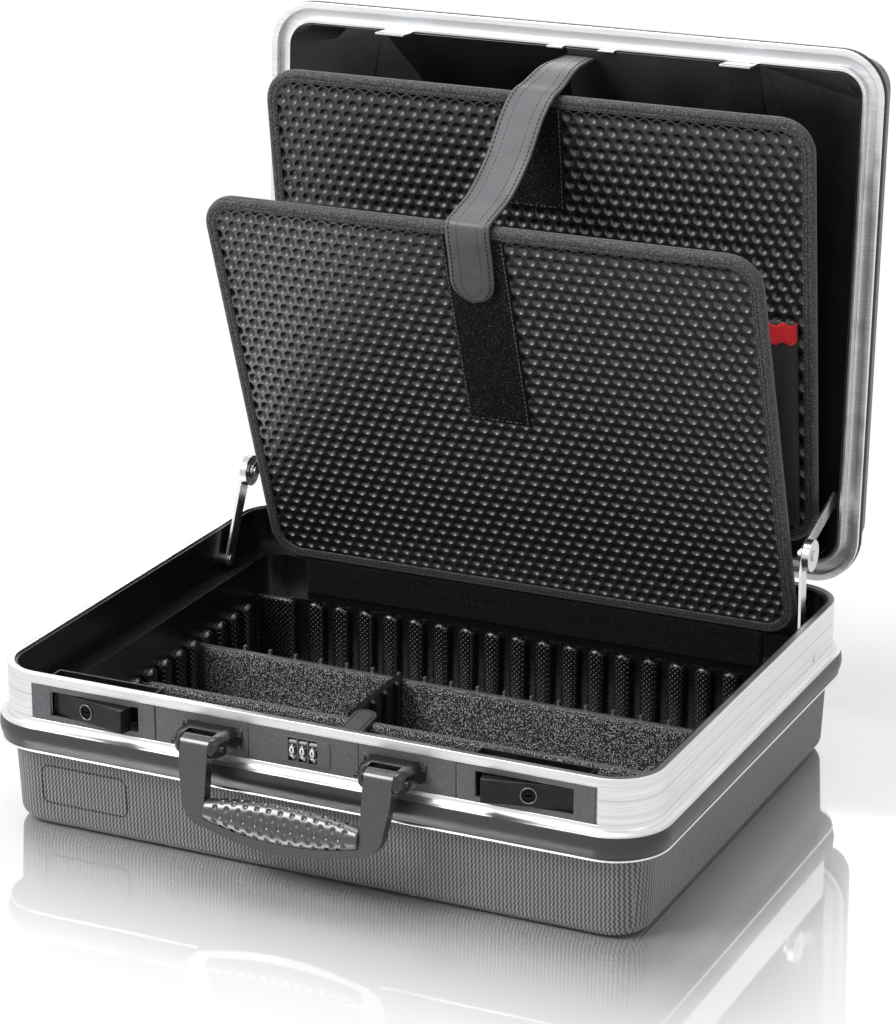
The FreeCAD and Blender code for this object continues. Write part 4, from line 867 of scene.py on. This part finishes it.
def board_binding(side, board):
    """Woven tape folded round the board's edge, with a double row of stitches."""
    path = board_path(0, 2.4)
    # The profile's places are inward and deep; the tape dips where it is sewn.
    seams = (4.5, 7.0)
    front = [(BINDING + 0.1, 1.05), (BINDING - 0.2, 0.3), (7.5, 0.1), (seams[1], 0.42), (6.5, 0.04),
             (5.7, -0.12), (5.0, 0.0), (seams[0], 0.4), (4.0, 0.0), (3.0, -0.1), (1.9, 0.1), (0.8, 0.7),
             (0.08, 2.2)]
    inner = [(0.9, 2.4), (1.6, 1.5), (BINDING + 0.1, 1.25)]
    profile = front + [(n, BOARD_THICK - d) for n, d in reversed(front)]
    profile += [(n, BOARD_THICK - d) for n, d in reversed(inner)] + inner
    draw = random.Random(7)
    sway = [draw.uniform(-0.12, 0.12) for _ in path]
    points = []
    for (x, s, nx, ns), swing in zip(path, sway):
        for inward, depth in profile:
            extra = swing if inward > 5 else 0
            points.append(board.at(x + nx * (inward + extra), s + ns * (inward + extra), depth))
    body = BODY_OF[side + "_binding"]
    faces = ring_faces(len(path), len(profile))
    tape = piece(side + "_board_tape", points, faces, "binding", body, "binding_fabric")
    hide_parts(side + "_binding")
    out = board.front()
    lines = []
    for inward in seams:
        loop = [(board.at(x, s, 0.3), out) for x, s, _, _ in board_path(inward, 2.4)]
        lines.append(loop + loop[:1])
    stitches = stitch_rows(side + "_board_stitches", lines, "thread", body, "binding_fabric", width=0.95)


def board_pad(side, board):
    """Strip of loop fastener sewn down the middle of the board."""
    half = PAD_HALF
    top = BOARD_HEIGHT - BINDING + 1.0
    low = top - PAD_LENGTHS[side]
    columns, rows = 44, int(PAD_LENGTHS[side] / 1.05)
    draw = random.Random(3)

    def pile(r, c):
        edge = min(c, columns - c, r) / 2
        height = 0.35 + 1.0 * min(edge, 1.0) + draw.uniform(-0.3, 0.3) * min(edge, 1)
        x = -half + 2 * half * c / columns + draw.uniform(-0.1, 0.1)
        return board.at(x, low + (top - low) * r / rows, BOARD_FACE - height)

    def back(r, c):
        return board.at(-half + 2 * half * c / columns, low + (top - low) * r / rows, BOARD_FACE + 0.1)

    body = BODY_OF[side + "_pad"]
    pad = piece(side + "_loop_pad", *backed_patch(rows, columns, pile, back), "pad", body, "pad_fabric")
    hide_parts(side + "_pad")
    out = board.front()
    lines = []
    for x in (-half + 1.6, half - 1.6):
        lines.append([(board.at(x, s, -0.12), out) for s in np.arange(low + 1.5, top, 3)])
    lines.append([(board.at(x, low + 2.6, -0.2), out) for x in np.arange(-half + 2, half - 2, 3)])
    stitch_rows(side + "_pad_stitches", lines, "pale_thread", body, "pad_fabric", width=0.45)


class CASE_OT_boards(bpy.types.Operator):
    """Tool boards: cupped sheets, woven tape, stitches, loop pads"""
    bl_idname = "tool_case.boards"
    bl_label = "Tool boards"

    def execute(self, context):
        for side, board in board_places().items():
            cupped_sheet(side, board)
            board_back(side, board)
            board_binding(side, board)
            board_pad(side, board)
        return {"FINISHED"}


class CASE_OT_pouches(bpy.types.Operator):
    """Row of sewn pouches on the rear board, with a red elastic band along their tops"""
    bl_idname = "tool_case.pouches"
    bl_label = "Pouches"

    def execute(self, context):
        board = board_places()["rear"]
        draw = random.Random(11)
        folds = [draw.uniform(0, 2 * math.pi) for _ in range(POUCH_COUNT)]
        columns_each = 28
        columns = POUCH_COUNT * columns_each
        self.pouches(board, folds, columns, columns_each)
        self.band(board, folds, columns)
        return {"FINISHED"}

    def pouches(self, board, folds, columns, columns_each):
        rows = 40

        def at(r, c):
            x = -POUCH_HALF + 2 * POUCH_HALF * c / columns
            s = POUCH_LOW + (POUCH_HIGH - POUCH_LOW) * r / rows
            sag = 1.5 * swell((c % columns_each) / columns_each, folds[0]) * (r == rows)
            return board.at(x, s - sag, BOARD_FACE - min(pouch_height(x, r / rows, folds), 8.9))

        def back(r, c):
            x = -POUCH_HALF + 2 * POUCH_HALF * c / columns
            return board.at(x, POUCH_LOW + (POUCH_HIGH - POUCH_LOW) * r / rows, BOARD_FACE + 0.05)

        row = piece("rear_pouch_row", *backed_patch(rows, columns, at, back), "pouch",
                    BODY_OF["rear_pouches"], "pouch_fabric")
        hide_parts("rear_pouches")

    def band(self, board, folds, columns):
        """Elastic that follows the pouches' fronts and dips to the board at each seam."""
        rows = 6
        below_top, ripple_pitch, thick = 13.0, 10.5, 0.9
        front = []
        for r in range(rows + 1):
            share = r / rows
            s = POUCH_HIGH - below_top + BAND_HEIGHT * share
            for c in range(columns + 1):
                x = -POUCH_HALF + 2 * POUCH_HALF * c / columns
                wave = math.sin(2 * math.pi * x / ripple_pitch)
                ripple = 0.5 * wave * math.sin(math.pi * share)
                lift = min(pouch_height(x, 1.0, folds) + 0.5 + ripple, 9.6)
                front.append(board.at(x, s + 1.3 * wave, BOARD_FACE - lift))
        count = len(front)
        points = front + [p - board.front() * thick * MM for p in front]
        faces = grid_faces(rows + 1, columns + 1)
        faces += [tuple(count + i for i in reversed(face)) for face in faces]
        rim = [r * (columns + 1) + c for r, c in patch_rim(rows, columns)]
        for k, m in zip(rim, rim[1:] + rim[:1]):
            faces.append((k, m, count + m, count + k))
        band = piece("rear_elastic_band", points, faces, "elastic", BODY_OF["rear_pouches"],
                     "elastic_fabric")
        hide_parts("rear_elastic")


def swell(across, fold):
    """How far a pouch stands out across its width, as a share."""
    dome = math.sqrt(max(1 - (2 * across - 1) ** 2, 0))
    return dome ** 0.8 * (1 + 0.06 * math.sin(fold))


def pouch_height(x, up, folds):
    """Height of the pouches' fronts over the board, in mm, at x and at a share of their height."""
    place = (x + POUCH_HALF) / (2 * POUCH_HALF / POUCH_COUNT)
    index = min(int(place), POUCH_COUNT - 1)
    across = min(max(place - index, 0.0), 1.0)
    out = swell(across, folds[index])
    pleat = 0.5 * math.sin(math.pi * 6 * across + folds[index]) * up ** 2
    return 0.5 + 8.2 * out * (0.55 + 0.45 * up) * min(up * 6 + 0.1, 1) + pleat * out


# Strap
def smooth_line(places, step):
    """Points every step along a smooth curve through places (each with a width as fourth value)."""
    places = [np.array(p, float) for p in places]
    padded = [2 * places[0] - places[1]] + places + [2 * places[-1] - places[-2]]
    line = []
    for i in range(1, len(padded) - 2):
        p0, p1, p2, p3 = padded[i - 1:i + 3]
        knots = [0.0]
        for a, b in ((p0, p1), (p1, p2), (p2, p3)):
            knots.append(knots[-1] + max(np.linalg.norm(b[:3] - a[:3]), 1e-6) ** 0.5)
        count = max(2, int(np.linalg.norm(p2[:3] - p1[:3]) / step))
        for k in range(count):
            t = knots[1] + (knots[2] - knots[1]) * k / count
            a1 = ((knots[1] - t) * p0 + (t - knots[0]) * p1) / (knots[1] - knots[0])
            a2 = ((knots[2] - t) * p1 + (t - knots[1]) * p2) / (knots[2] - knots[1])
            a3 = ((knots[3] - t) * p2 + (t - knots[2]) * p3) / (knots[3] - knots[2])
            b1 = ((knots[2] - t) * a1 + (t - knots[0]) * a2) / (knots[2] - knots[0])
            b2 = ((knots[3] - t) * a2 + (t - knots[1]) * a3) / (knots[3] - knots[1])
            line.append(((knots[2] - t) * b1 + (t - knots[1]) * b2) / (knots[2] - knots[1]))
    line.append(places[-1])
    return line


class CASE_OT_strap(bpy.types.Operator):
    """Leather strap from the lid's front edge over both boards, with two stitched rows at each side"""
    bl_idname = "tool_case.strap"
    bl_label = "Strap"

    def execute(self, context):
        places = board_places()
        front, rear = places["front"], places["rear"]
        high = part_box("lid_strap")[1]
        root = Vector((11.0, high.y / MM - 1.6, high.z / MM - 6.4))

        def point(board, x, s, lift):
            return tuple(board.at(x, s, -lift) / MM)

        # Places along the strap's middle, and its width there; it narrows at the clips in the lid.
        wide = STRAP_WIDTH
        route = [
            (*root, 22.0),
            (11.0, 203.0, 451.7, 23.0),
            (10.0, 182.0, 450.5, 27.0),
            (*point(rear, 7.5, BOARD_HEIGHT + 4.5, -6.0), 31.0),
            (*point(rear, 5.5, BOARD_HEIGHT + 2.0, 4.0), wide),
            (3.4, 139.0, 428.0, wide),
            (2.0, 116.0, 401.0, wide),
            (1.0, 90.0, 382.0, wide),
            (*point(front, 0.4, BOARD_HEIGHT + 4.2, -7.0), wide),
            (*point(front, 0.0, BOARD_HEIGHT + 3.4, 1.2), wide),
            (*point(front, -0.4, BOARD_HEIGHT - 6.0, 3.0), wide),
            (*point(front, -1.2, BOARD_HEIGHT - 20.0, 2.2), wide),
            (*point(front, -2.6, BOARD_HEIGHT - 40.0, 2.0), wide),
            (*point(front, -4.0, BOARD_HEIGHT - 57.0, 2.0), wide),
        ]
        line = smooth_line(route, 2.0)
        thick = STRAP_HALF_THICK
        # The strap's section, as shares of half its width and half its thickness.
        cross = [(-1, 0), (-0.985, 0.72), (-0.93, 1.0), (-0.5, 1.08), (0, 1.12), (0.5, 1.08), (0.93, 1.0),
                 (0.985, 0.72), (1, 0), (0.985, -0.72), (0.93, -1), (0, -1), (-0.93, -1), (-0.985, -0.72)]
        points, sides = [], []
        total = len(line)
        runs = [0.0]
        for a, b in zip(line, line[1:]):
            runs.append(runs[-1] + float(np.linalg.norm((b - a)[:3])))
        for i, place in enumerate(line):
            before, after = line[max(i - 1, 0)], line[min(i + 1, total - 1)]
            along = Vector(after[:3] - before[:3]).normalized()
            side = (Vector((1, 0, 0)) - along * along.x).normalized()
            out = side.cross(along).normalized()
            if out.y > 0 or (abs(out.y) < 0.2 and out.z < 0):
                out = -out
            centre = Vector(place[:3])
            half = place[3] / 2
            left = runs[-1] - runs[i]
            if left < half:
                # The free end is cut round.
                half = math.sqrt(max(half ** 2 - (half - left) ** 2, 0.04))
            points += [(centre + side * half * a + out * thick * b) * MM for a, b in cross]
            sides.append((centre, side, out, half))
        body = BODY_OF["lid_strap"]
        strap = piece("leather_strap_band", points, tube_faces(total, len(cross)), "strap", body,
                      "strap_leather", sharp=75)
        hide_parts("lid_strap")
        pieces = [strap]
        for row, (inset, width) in enumerate(((2.7, 0.95), (8.6, 0.5))):
            lines = []
            for way in (-1, 1):
                run = []
                for centre, side, out, half in sides:
                    if half - inset > 1.5:
                        run.append(((centre + side * way * (half - inset) + out * thick * 1.04) * MM, out))
                lines.append(run)
            joined = lines[0] + lines[1][::-1]
            pieces.append(stitch_rows("strap_stitches_%d" % (row + 1), [joined], "thread", body,
                                      "strap_leather", width=width))
        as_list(pieces[1:])
        # Each piece gets a mesh of its own.
        for obj in pieces:
            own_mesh(obj)
        return {"FINISHED"}


# Base and lid
def bright_bead():
    """Thin bright bead round the base's shell, under its belt: a painted highlight along the shell's lip."""
    half_x, half_y, corner, height, radius = 232.5, 188.5, 36.5, 57.3, 0.75
    profile = [(radius * math.cos(a), radius * math.sin(a)) for a in np.arange(0, 2 * math.pi, math.pi / 4)]
    points = []
    path = rounded_path(-half_x, half_x, -half_y, half_y, corner, 5)
    for x, y, nx, ny in path:
        points += [Vector((x + nx * inward, y + ny * inward, height + up)) * MM for inward, up in profile]
    piece("base_lip_highlight_bead", points, ring_faces(len(path), len(profile)), "aluminium", "base",
          "frame_aluminium")


class CASE_OT_shells(bpy.types.Operator):
    """Moulded shells of the base and the lid, and the bright bead under the base's belt, a painted highlight"""
    bl_idname = "tool_case.shells"
    bl_label = "Shells"

    def execute(self, context):
        # The base's belt and the lid's rounded lip are smooth; below and behind them lies the relief.
        base = softened("base_shell", "shell", 0.3, 2, 50)
        base.data.materials.append(MATERIALS["belt"])
        for polygon in base.data.polygons:
            polygon.material_index = int(polygon.center.z > BELT_FOOT * MM)
        lid = softened("lid_shell", "shell", 0.3, 2, 50)
        lid.data.materials.append(MATERIALS["lip"])
        for polygon in lid.data.polygons:
            polygon.material_index = int(shut_place(polygon.center).z < LID_BAND_TOP * MM)
        bright_bead()
        return {"FINISHED"}


class CASE_OT_frames(bpy.types.Operator):
    """Brushed aluminium frames"""
    bl_idname = "tool_case.frames"
    bl_label = "Frames"

    def execute(self, context):
        for node in ("base_frame", "lid_frame"):
            softened(node, "aluminium", 0.4, angle=40)
        dress("frame_rivets", "aluminium")
        return {"FINISHED"}


class CASE_OT_tray(bpy.types.Operator):
    """Inner tray and the dividers with their foam and leather tab"""
    bl_idname = "tool_case.tray"
    bl_label = "Tray and dividers"

    def execute(self, context):
        softened("base_tray", "tray", 1.3, 3, 40, round_ribs)
        softened("cross_divider", "divider", 0.5)
        for node in ("rear_divider", "front_divider"):
            softened(node, "core", 0.4)
        for number, (low, high) in enumerate(facing_boxes(), 1):
            slab_piece("divider_foam_%d" % number, "divider_facings", low, high, 0.9, 4.0, "foam")
        self.tab()
        slab_piece("velvet_hinge_strip", "panel_hinge_strip", *box_mm("panel_hinge_strip"), 0.7, 3.0,
                   "velvet", lumps=0.25)
        return {"FINISHED"}

    def tab(self):
        """Stitched tongue that is sewn to the front divider and lies back over it."""
        rise = math.radians(8.5)
        along = Vector((0, math.cos(rise), math.sin(rise)))
        up = Vector((0, -math.sin(rise), math.cos(rise)))
        centre = Vector((-36.5, -35.0, box_mm("front_divider")[1].z + 1.6))
        outline = rounded_path(-8.5, 8.5, -16.5, 16.5, 7.5, 1.2)
        # Heights over the tab's middle, and how far the outline is drawn in there.
        levels = [(-1.1, 0.5), (-1.1, 0.15), (-0.8, 0.0), (0.7, 0.0), (1.0, 0.25), (1.15, 0.8), (1.15, 2.0)]

        def at(x, y, height):
            return (centre + Vector((x, 0, 0)) + along * y + up * height) * MM

        points = []
        for height, inward in levels:
            points += [at(x + nx * inward, y + ny * inward, height) for x, y, nx, ny in outline]
        tab = piece("leather_pull_tab", points, tube_faces(len(levels), len(outline)), "tab", "base",
                    "tab_leather", sharp=50)
        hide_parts("divider_tab")
        loop = [(at(x, y, 1.17), up) for x, y, _, _ in rounded_path(-6.3, 6.3, -14.3, 14.3, 5.3, 1.2)]
        stitches = stitch_rows("tab_stitches", [loop + loop[:1]], "thread", "base", "tab_leather",
                               width=0.8)


def round_ribs(bm):
    """Draws the top of each of the tray's ribs in to a half circle, seen from its front."""
    half = RIB_WIDTH / 2
    foot = RIB_TOP - half
    for share in (0.0, 0.35, 0.62, 0.82, 0.93):
        cut_all(bm, Vector((0, 0, foot + half * share)) * MM, Vector((0, 0, 1)))
    # The rear ribs stand on a wall across the tray, the side ribs on the two walls beside it.
    for along, out, wall, count in ((0, 1, RIB_WALL_REAR, REAR_RIBS), (1, 0, RIB_WALL_SIDE, SIDE_RIBS)):
        reach = (count - 1) / 2 * RIB_PITCH + half + 0.05
        for v in bm.verts:
            place = v.co / MM
            depth = wall - (place[out] if out else abs(place[out]))
            middle = round(place[along] / RIB_PITCH) * RIB_PITCH
            if not -0.02 < depth < RIB_DEPTH + 0.05 or abs(place[along]) > reach:
                continue
            if not foot < place.z < RIB_TOP + 0.05:
                continue
            rise = min((place.z - foot) / half, 0.98)
            if abs(place[along] - middle) < half + 0.05:
                v.co[along] = (middle + (place[along] - middle) * math.sqrt(1 - rise ** 2)) * MM


def facing_boxes():
    """Boxes of the foam on the dividers, in mm; on the front divider it wraps over the top."""
    low, high = box_mm("divider_facings")
    core_low, core_high = box_mm("front_divider")
    thick = 2.0
    return [((low.x, core_low.y - thick, low.z), (high.x, core_high.y + thick, core_high.z + thick / 2)),
            ((low.x, high.y - thick, low.z), (high.x, high.y - 0.01, high.z))]


class CASE_OT_front(bpy.types.Operator):
    """Front plates, latches, keys and the troughs behind them"""
    bl_idname = "tool_case.front"
    bl_label = "Plates and latches"

    def execute(self, context):
        for side in ("left", "right"):
            softened(side + "_latch_plate", "plates", 0.25)
            drawn_ears(softened(side + "_handle_plate", "plates", 0.8, 3), side)
            softened(side + "_latch_lever", "lever", 0.3)
            dress(side + "_key_cylinder", "key")
            key_ring(side)
        softened("lock_plate", "plates", 0.25)
        for node in ("latch_housings", "lock_housing"):
            softened(node, "housing", 0.3)
        dress("handle_pins", "lever")
        for node in ("latch_pins", "wheel_axle"):
            dress(node, "lever_steel")
        return {"FINISHED"}


def drawn_ears(obj, side):
    """Draws each ear in to the plate on the side away from the handle's leg, like half a bullet."""
    leg = (-1 if side == "left" else 1) * LEG_PLACE * MM
    near, reach = 10.2 * MM, 10.8 * MM
    wall, middle = PLATE_FACE * MM, EAR_HEIGHT * MM
    bm = bmesh.new()
    bm.from_mesh(obj.data)
    for way in (-1, 1):
        for step in range(1, 8):
            cut_all(bm, Vector((leg + way * (near + reach * step / 8), 0, 0)), Vector((1, 0, 0)))
    for v in bm.verts:
        far = (abs(v.co.x - leg) - near) / reach
        if far > 0 and v.co.y < wall - 0.05 * MM:
            v.co.y = wall + (v.co.y - wall) * (1 - 0.85 * far ** 2.2)
            v.co.z = middle + (v.co.z - middle) * (1 - 0.7 * far ** 2.4)
    bm.to_mesh(obj.data)
    bm.free()
    obj.data.shade_smooth()
    obj.data.set_sharp_from_angle(angle=math.radians(38))
    obj.data.materials.append(MATERIALS["ear"])
    for polygon in obj.data.polygons:
        if polygon.center.y < wall - 0.4 * MM:
            polygon.material_index = 1


def key_ring(side):
    """Bright bead round the key cylinder, on the lever's face."""
    joint = JOINTS[side + "_key_turn"]
    axis, centre = Vector(joint["axis"]).normalized(), Vector(joint["pos_m"])
    offsets = [v.co - centre for v in NODES[side + "_key_cylinder"].data.vertices]
    face = max(o.dot(axis) for o in offsets)
    radius = max((o - axis * o.dot(axis)).length for o in offsets if o.dot(axis) > face - 0.1 * MM)
    across = axis.cross(Vector((0, 0, 1))).normalized()
    up = across.cross(axis).normalized()
    turns = [2 * math.pi * k / 40 for k in range(40)]
    profile = [(0.0, 0.0), (0.1, 0.2), (0.3, 0.28), (0.5, 0.2), (0.6, 0.0), (0.6, -0.3), (0.0, -0.3)]
    points = []
    for turn in turns:
        out = across * math.cos(turn) + up * math.sin(turn)
        for wide, high in profile:
            points.append(centre + out * (radius + (wide + 0.05) * MM) + axis * (face + high * MM))
    piece(side + "_key_ring", points, ring_faces(len(turns), len(profile)), "chrome",
          BODY_OF[side + "_latch_lever"], slot_of(side + "_key_cylinder"))


class CASE_OT_lock(bpy.types.Operator):
    """Number wheels with white digits"""
    bl_idname = "tool_case.lock"
    bl_label = "Number lock"

    def execute(self, context):
        tall, lift, thick = 5.6, 0.08, 0.12
        for number in (1, 2, 3):
            node = "number_wheel_%d" % number
            dress(node, "wheel")
            low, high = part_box(node)
            centre = (low + high) / 2
            radius = (high.z - low.z) / 2 + lift * MM
            points, faces = [], []
            for digit in range(10):
                verts, polygons = digit_shape(str(digit), tall * MM)
                base = len(points)
                for x, y in verts:
                    angle = y / radius + math.radians(36 * digit)
                    points.append((centre.x + x, centre.y - radius * math.cos(angle),
                                   centre.z + radius * math.sin(angle)))
                faces += [[base + i for i in polygon] for polygon in polygons]
            obj = piece("wheel_digits_%d" % number, points, faces, "digits", BODY_OF[node], "wheel_plastic")
            plump = obj.modifiers.new("thickness", "SOLIDIFY")
            plump.thickness = thick * MM
            plump.offset = 0
        return {"FINISHED"}


def digit_shape(text, height):
    """Outline mesh of one digit, centred, its height along y."""
    curve = bpy.data.curves.new("digit_" + text, "FONT")
    curve.body = text
    curve.size = 1.0
    curve.offset = 0.035
    curve.align_x = "CENTER"
    obj = placed("digit_" + text, curve)
    bpy.context.view_layer.update()
    mesh = bpy.data.meshes.new_from_object(obj)
    xs = [v.co.x for v in mesh.vertices]
    ys = [v.co.y for v in mesh.vertices]
    scale = height / (max(ys) - min(ys))
    middle = ((max(xs) + min(xs)) / 2, (max(ys) + min(ys)) / 2)
    verts = [((v.co.x - middle[0]) * scale * 0.85, (v.co.y - middle[1]) * scale) for v in mesh.vertices]
    polygons = [list(p.vertices) for p in mesh.polygons]
    bpy.data.objects.remove(obj)
    bpy.data.meshes.remove(mesh)
    bpy.data.curves.remove(curve)
    return verts, polygons


class CASE_OT_handle(bpy.types.Operator):
    """Handle: smooth bail and a barrel grip with staggered rows of pits"""
    bl_idname = "tool_case.handle"
    bl_label = "Handle"

    def execute(self, context):
        softened("handle_bail", "handle", 1.3, 3)
        pivot = Vector(JOINTS["handle_swing"]["pos_m"])
        hang = Matrix.Rotation(math.radians(-HANDLE_SWING), 3, "X")
        half_length, depth = LEG_PLACE - 10.0, 13.8
        end_height, middle_height, sag, foot, back = 14.0, 26.0, 7.8, -45.8, -2.6
        end_round, pit_radius, pit_depth, pit_rows, plain_end = 1.2, 1.7, 1.2, 5, 6
        columns, around = 330, 150
        pitch = sizes().stud_pitch
        points = []
        for c in range(columns + 1):
            share = 2 * c / columns - 1
            bulge = 1 - share ** 2
            height = end_height + (middle_height - end_height) * bulge
            middle_z = foot - sag * bulge + height / 2
            x = share * half_length
            close = min(1.0, (1 - abs(share)) * half_length / end_round)
            rounded = 0.9 + 0.1 * math.sqrt(max(1 - (1 - close) ** 2, 0))
            for a in range(around):
                turn = 2 * math.pi * a / around
                y, z = -math.cos(turn) * depth / 2 * rounded, math.sin(turn) * height / 2 * rounded
                # Pits stand in staggered rows over the front and the top of the grip.
                rise = turn if turn < math.pi else turn - 2 * math.pi
                arc = rise * (height + depth) / 4
                row = round(arc / (pitch / 2))
                offset = pitch / 2 if row % 2 else 0
                place = round((x - offset) / pitch) * pitch + offset
                far = math.hypot(x - place, arc - row * pitch / 2)
                inside = abs(row) <= pit_rows and abs(place) < half_length - plain_end
                dip = pit_depth * max(0.0, 1 - (far / pit_radius) ** 2) ** 0.5 if inside else 0.0
                shrink = 1 - dip / (math.hypot(y, z) + 1e-6)
                local = Vector((x, back + y * shrink, middle_z + z * shrink)) * MM
                points.append(pivot + hang @ local)
        faces = tube_faces(columns + 1, around)
        grip = piece("grip_with_pits", points, faces, "grip", "handle", "grip_rubber", sharp=60)
        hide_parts("handle_grip")
        return {"FINISHED"}


class CASE_OT_hinges(bpy.types.Operator):
    """Hinges and stays"""
    bl_idname = "tool_case.hinges"
    bl_label = "Hinges and stays"

    def execute(self, context):
        for node in ("hinge_base_leaves", "hinge_lid_leaves"):
            softened(node, "hinge", 0.25)
        for node in ("hinge_pins", "hinge_screws"):
            dress(node, "lever_steel")
        for node in ("left_stay_lower", "left_stay_upper", "right_stay_lower", "right_stay_upper",
                     "stay_base_posts", "stay_lid_posts"):
            softened(node, "stay", 0.25)
        return {"FINISHED"}


class CASE_OT_lid(bpy.types.Operator):
    """Lid's inside: liner, strikes, clips and cloth strip"""
    bl_idname = "tool_case.lid"
    bl_label = "Lid inside"

    def execute(self, context):
        softened("lid_liner", "liner", 1.2, 3, 35)
        softened("lid_strikes", "lever_steel", 0.2)
        softened("strap_clips", "lever_steel", 0.3)
        slab_piece("lid_cloth_strip", "lid_strip", *box_mm("lid_strip"), 0.7, 4.0, "velvet", lumps=0.2)
        return {"FINISHED"}


# Stage
class CASE_OT_stage(bpy.types.Operator):
    """Camera at the photograph's angle, pale floor and soft studio light"""
    bl_idname = "tool_case.stage"
    bl_label = "Studio"

    def execute(self, context):
        scene = context.scene
        scene.view_settings.view_transform = "Standard"
        data = bpy.data.cameras.new("studio_camera")
        data.lens = 120.226
        data.sensor_width = 36.0
        data.clip_end = 50
        camera = placed("studio_camera", data)
        aim(camera, (0.91035884, -1.91352177, 0.92571055), (0.01288, 0.00021, 0.19127))
        scene.camera = camera

        bm = bmesh.new()
        bmesh.ops.create_grid(bm, x_segments=8, y_segments=8, size=14)
        mesh = bpy.data.meshes.new("studio_floor")
        bm.to_mesh(mesh)
        bm.free()
        mesh.materials.append(MATERIALS["floor"])
        floor = placed("studio_floor", mesh)
        floor.location = (0, 0, -0.0004)

        world = bpy.data.worlds.new("studio_world")
        scene.world = world
        world.use_nodes = True
        tree = world.node_tree
        tree.nodes.clear()
        soft = add(tree, "Background", {"Color": (0.5, 0.5, 0.5, 1), "Strength": 0.38})
        white = add(tree, "Background", {"Color": (1, 1, 1, 1), "Strength": 1.0})
        both = add(tree, "MixShader", {0: seen_rays(tree), 1: soft.outputs[0], 2: white.outputs[0]})
        add(tree, "OutputWorld", {"Surface": both.outputs[0]})

        # Name, place and width in metres, and power in watts.
        lamps = (("key_panel", (-1.0, -1.35, 1.55), 0.9, 35), ("fill_panel", (2.2, -0.7, 1.2), 1.0, 3),
                 ("top_panel", (-0.2, 0.0, 2.4), 1.2, 24), ("back_panel", (-0.6, 2.0, 1.6), 1.2, 16))
        for name, where, width, power in lamps:
            lamp = bpy.data.lights.new(name, "AREA")
            lamp.shape = "SQUARE"
            lamp.size = width
            lamp.energy = power
            aim(placed(name, lamp), where, (0, 0, 0.2))
        return {"FINISHED"}


def aim(obj, place, target):
    """Puts a camera or a lamp at a place and turns it to a target, in metres."""
    obj.location = place
    obj.rotation_euler = (Vector(target) - Vector(place)).to_track_quat("-Z", "Y").to_euler()


class CASE_PT_panel(bpy.types.Panel):
    """Lists the steps that dress the case"""
    bl_label = "Tool Case"
    bl_idname = "CASE_PT_panel"
    bl_space_type = "VIEW_3D"
    bl_region_type = "UI"
    bl_category = "Tool Case"

    def draw(self, context):
        for operator in OPERATORS:
            self.layout.operator(operator.bl_idname)


OPERATORS = (CASE_OT_stage, CASE_OT_shells, CASE_OT_frames, CASE_OT_tray, CASE_OT_front, CASE_OT_lock,
             CASE_OT_handle, CASE_OT_hinges, CASE_OT_lid, CASE_OT_boards, CASE_OT_pouches, CASE_OT_strap)
CLASSES = (CaseSizes, CaseColours) + OPERATORS + (CASE_PT_panel,)


def register():
    for cls in CLASSES:
        bpy.utils.register_class(cls)
    bpy.types.Scene.tool_case_sizes = bpy.props.PointerProperty(type=CaseSizes)
    bpy.types.Scene.tool_case_colours = bpy.props.PointerProperty(type=CaseColours)


def unregister():
    del bpy.types.Scene.tool_case_colours
    del bpy.types.Scene.tool_case_sizes
    for cls in reversed(CLASSES):
        bpy.utils.unregister_class(cls)


def main():
    register()
    make_materials()
    for operator in OPERATORS:
        group, name = operator.bl_idname.split(".")
        getattr(getattr(bpy.ops, group), name)()
    bpy.context.view_layer.update()


if __name__ == "__main__":
    main()
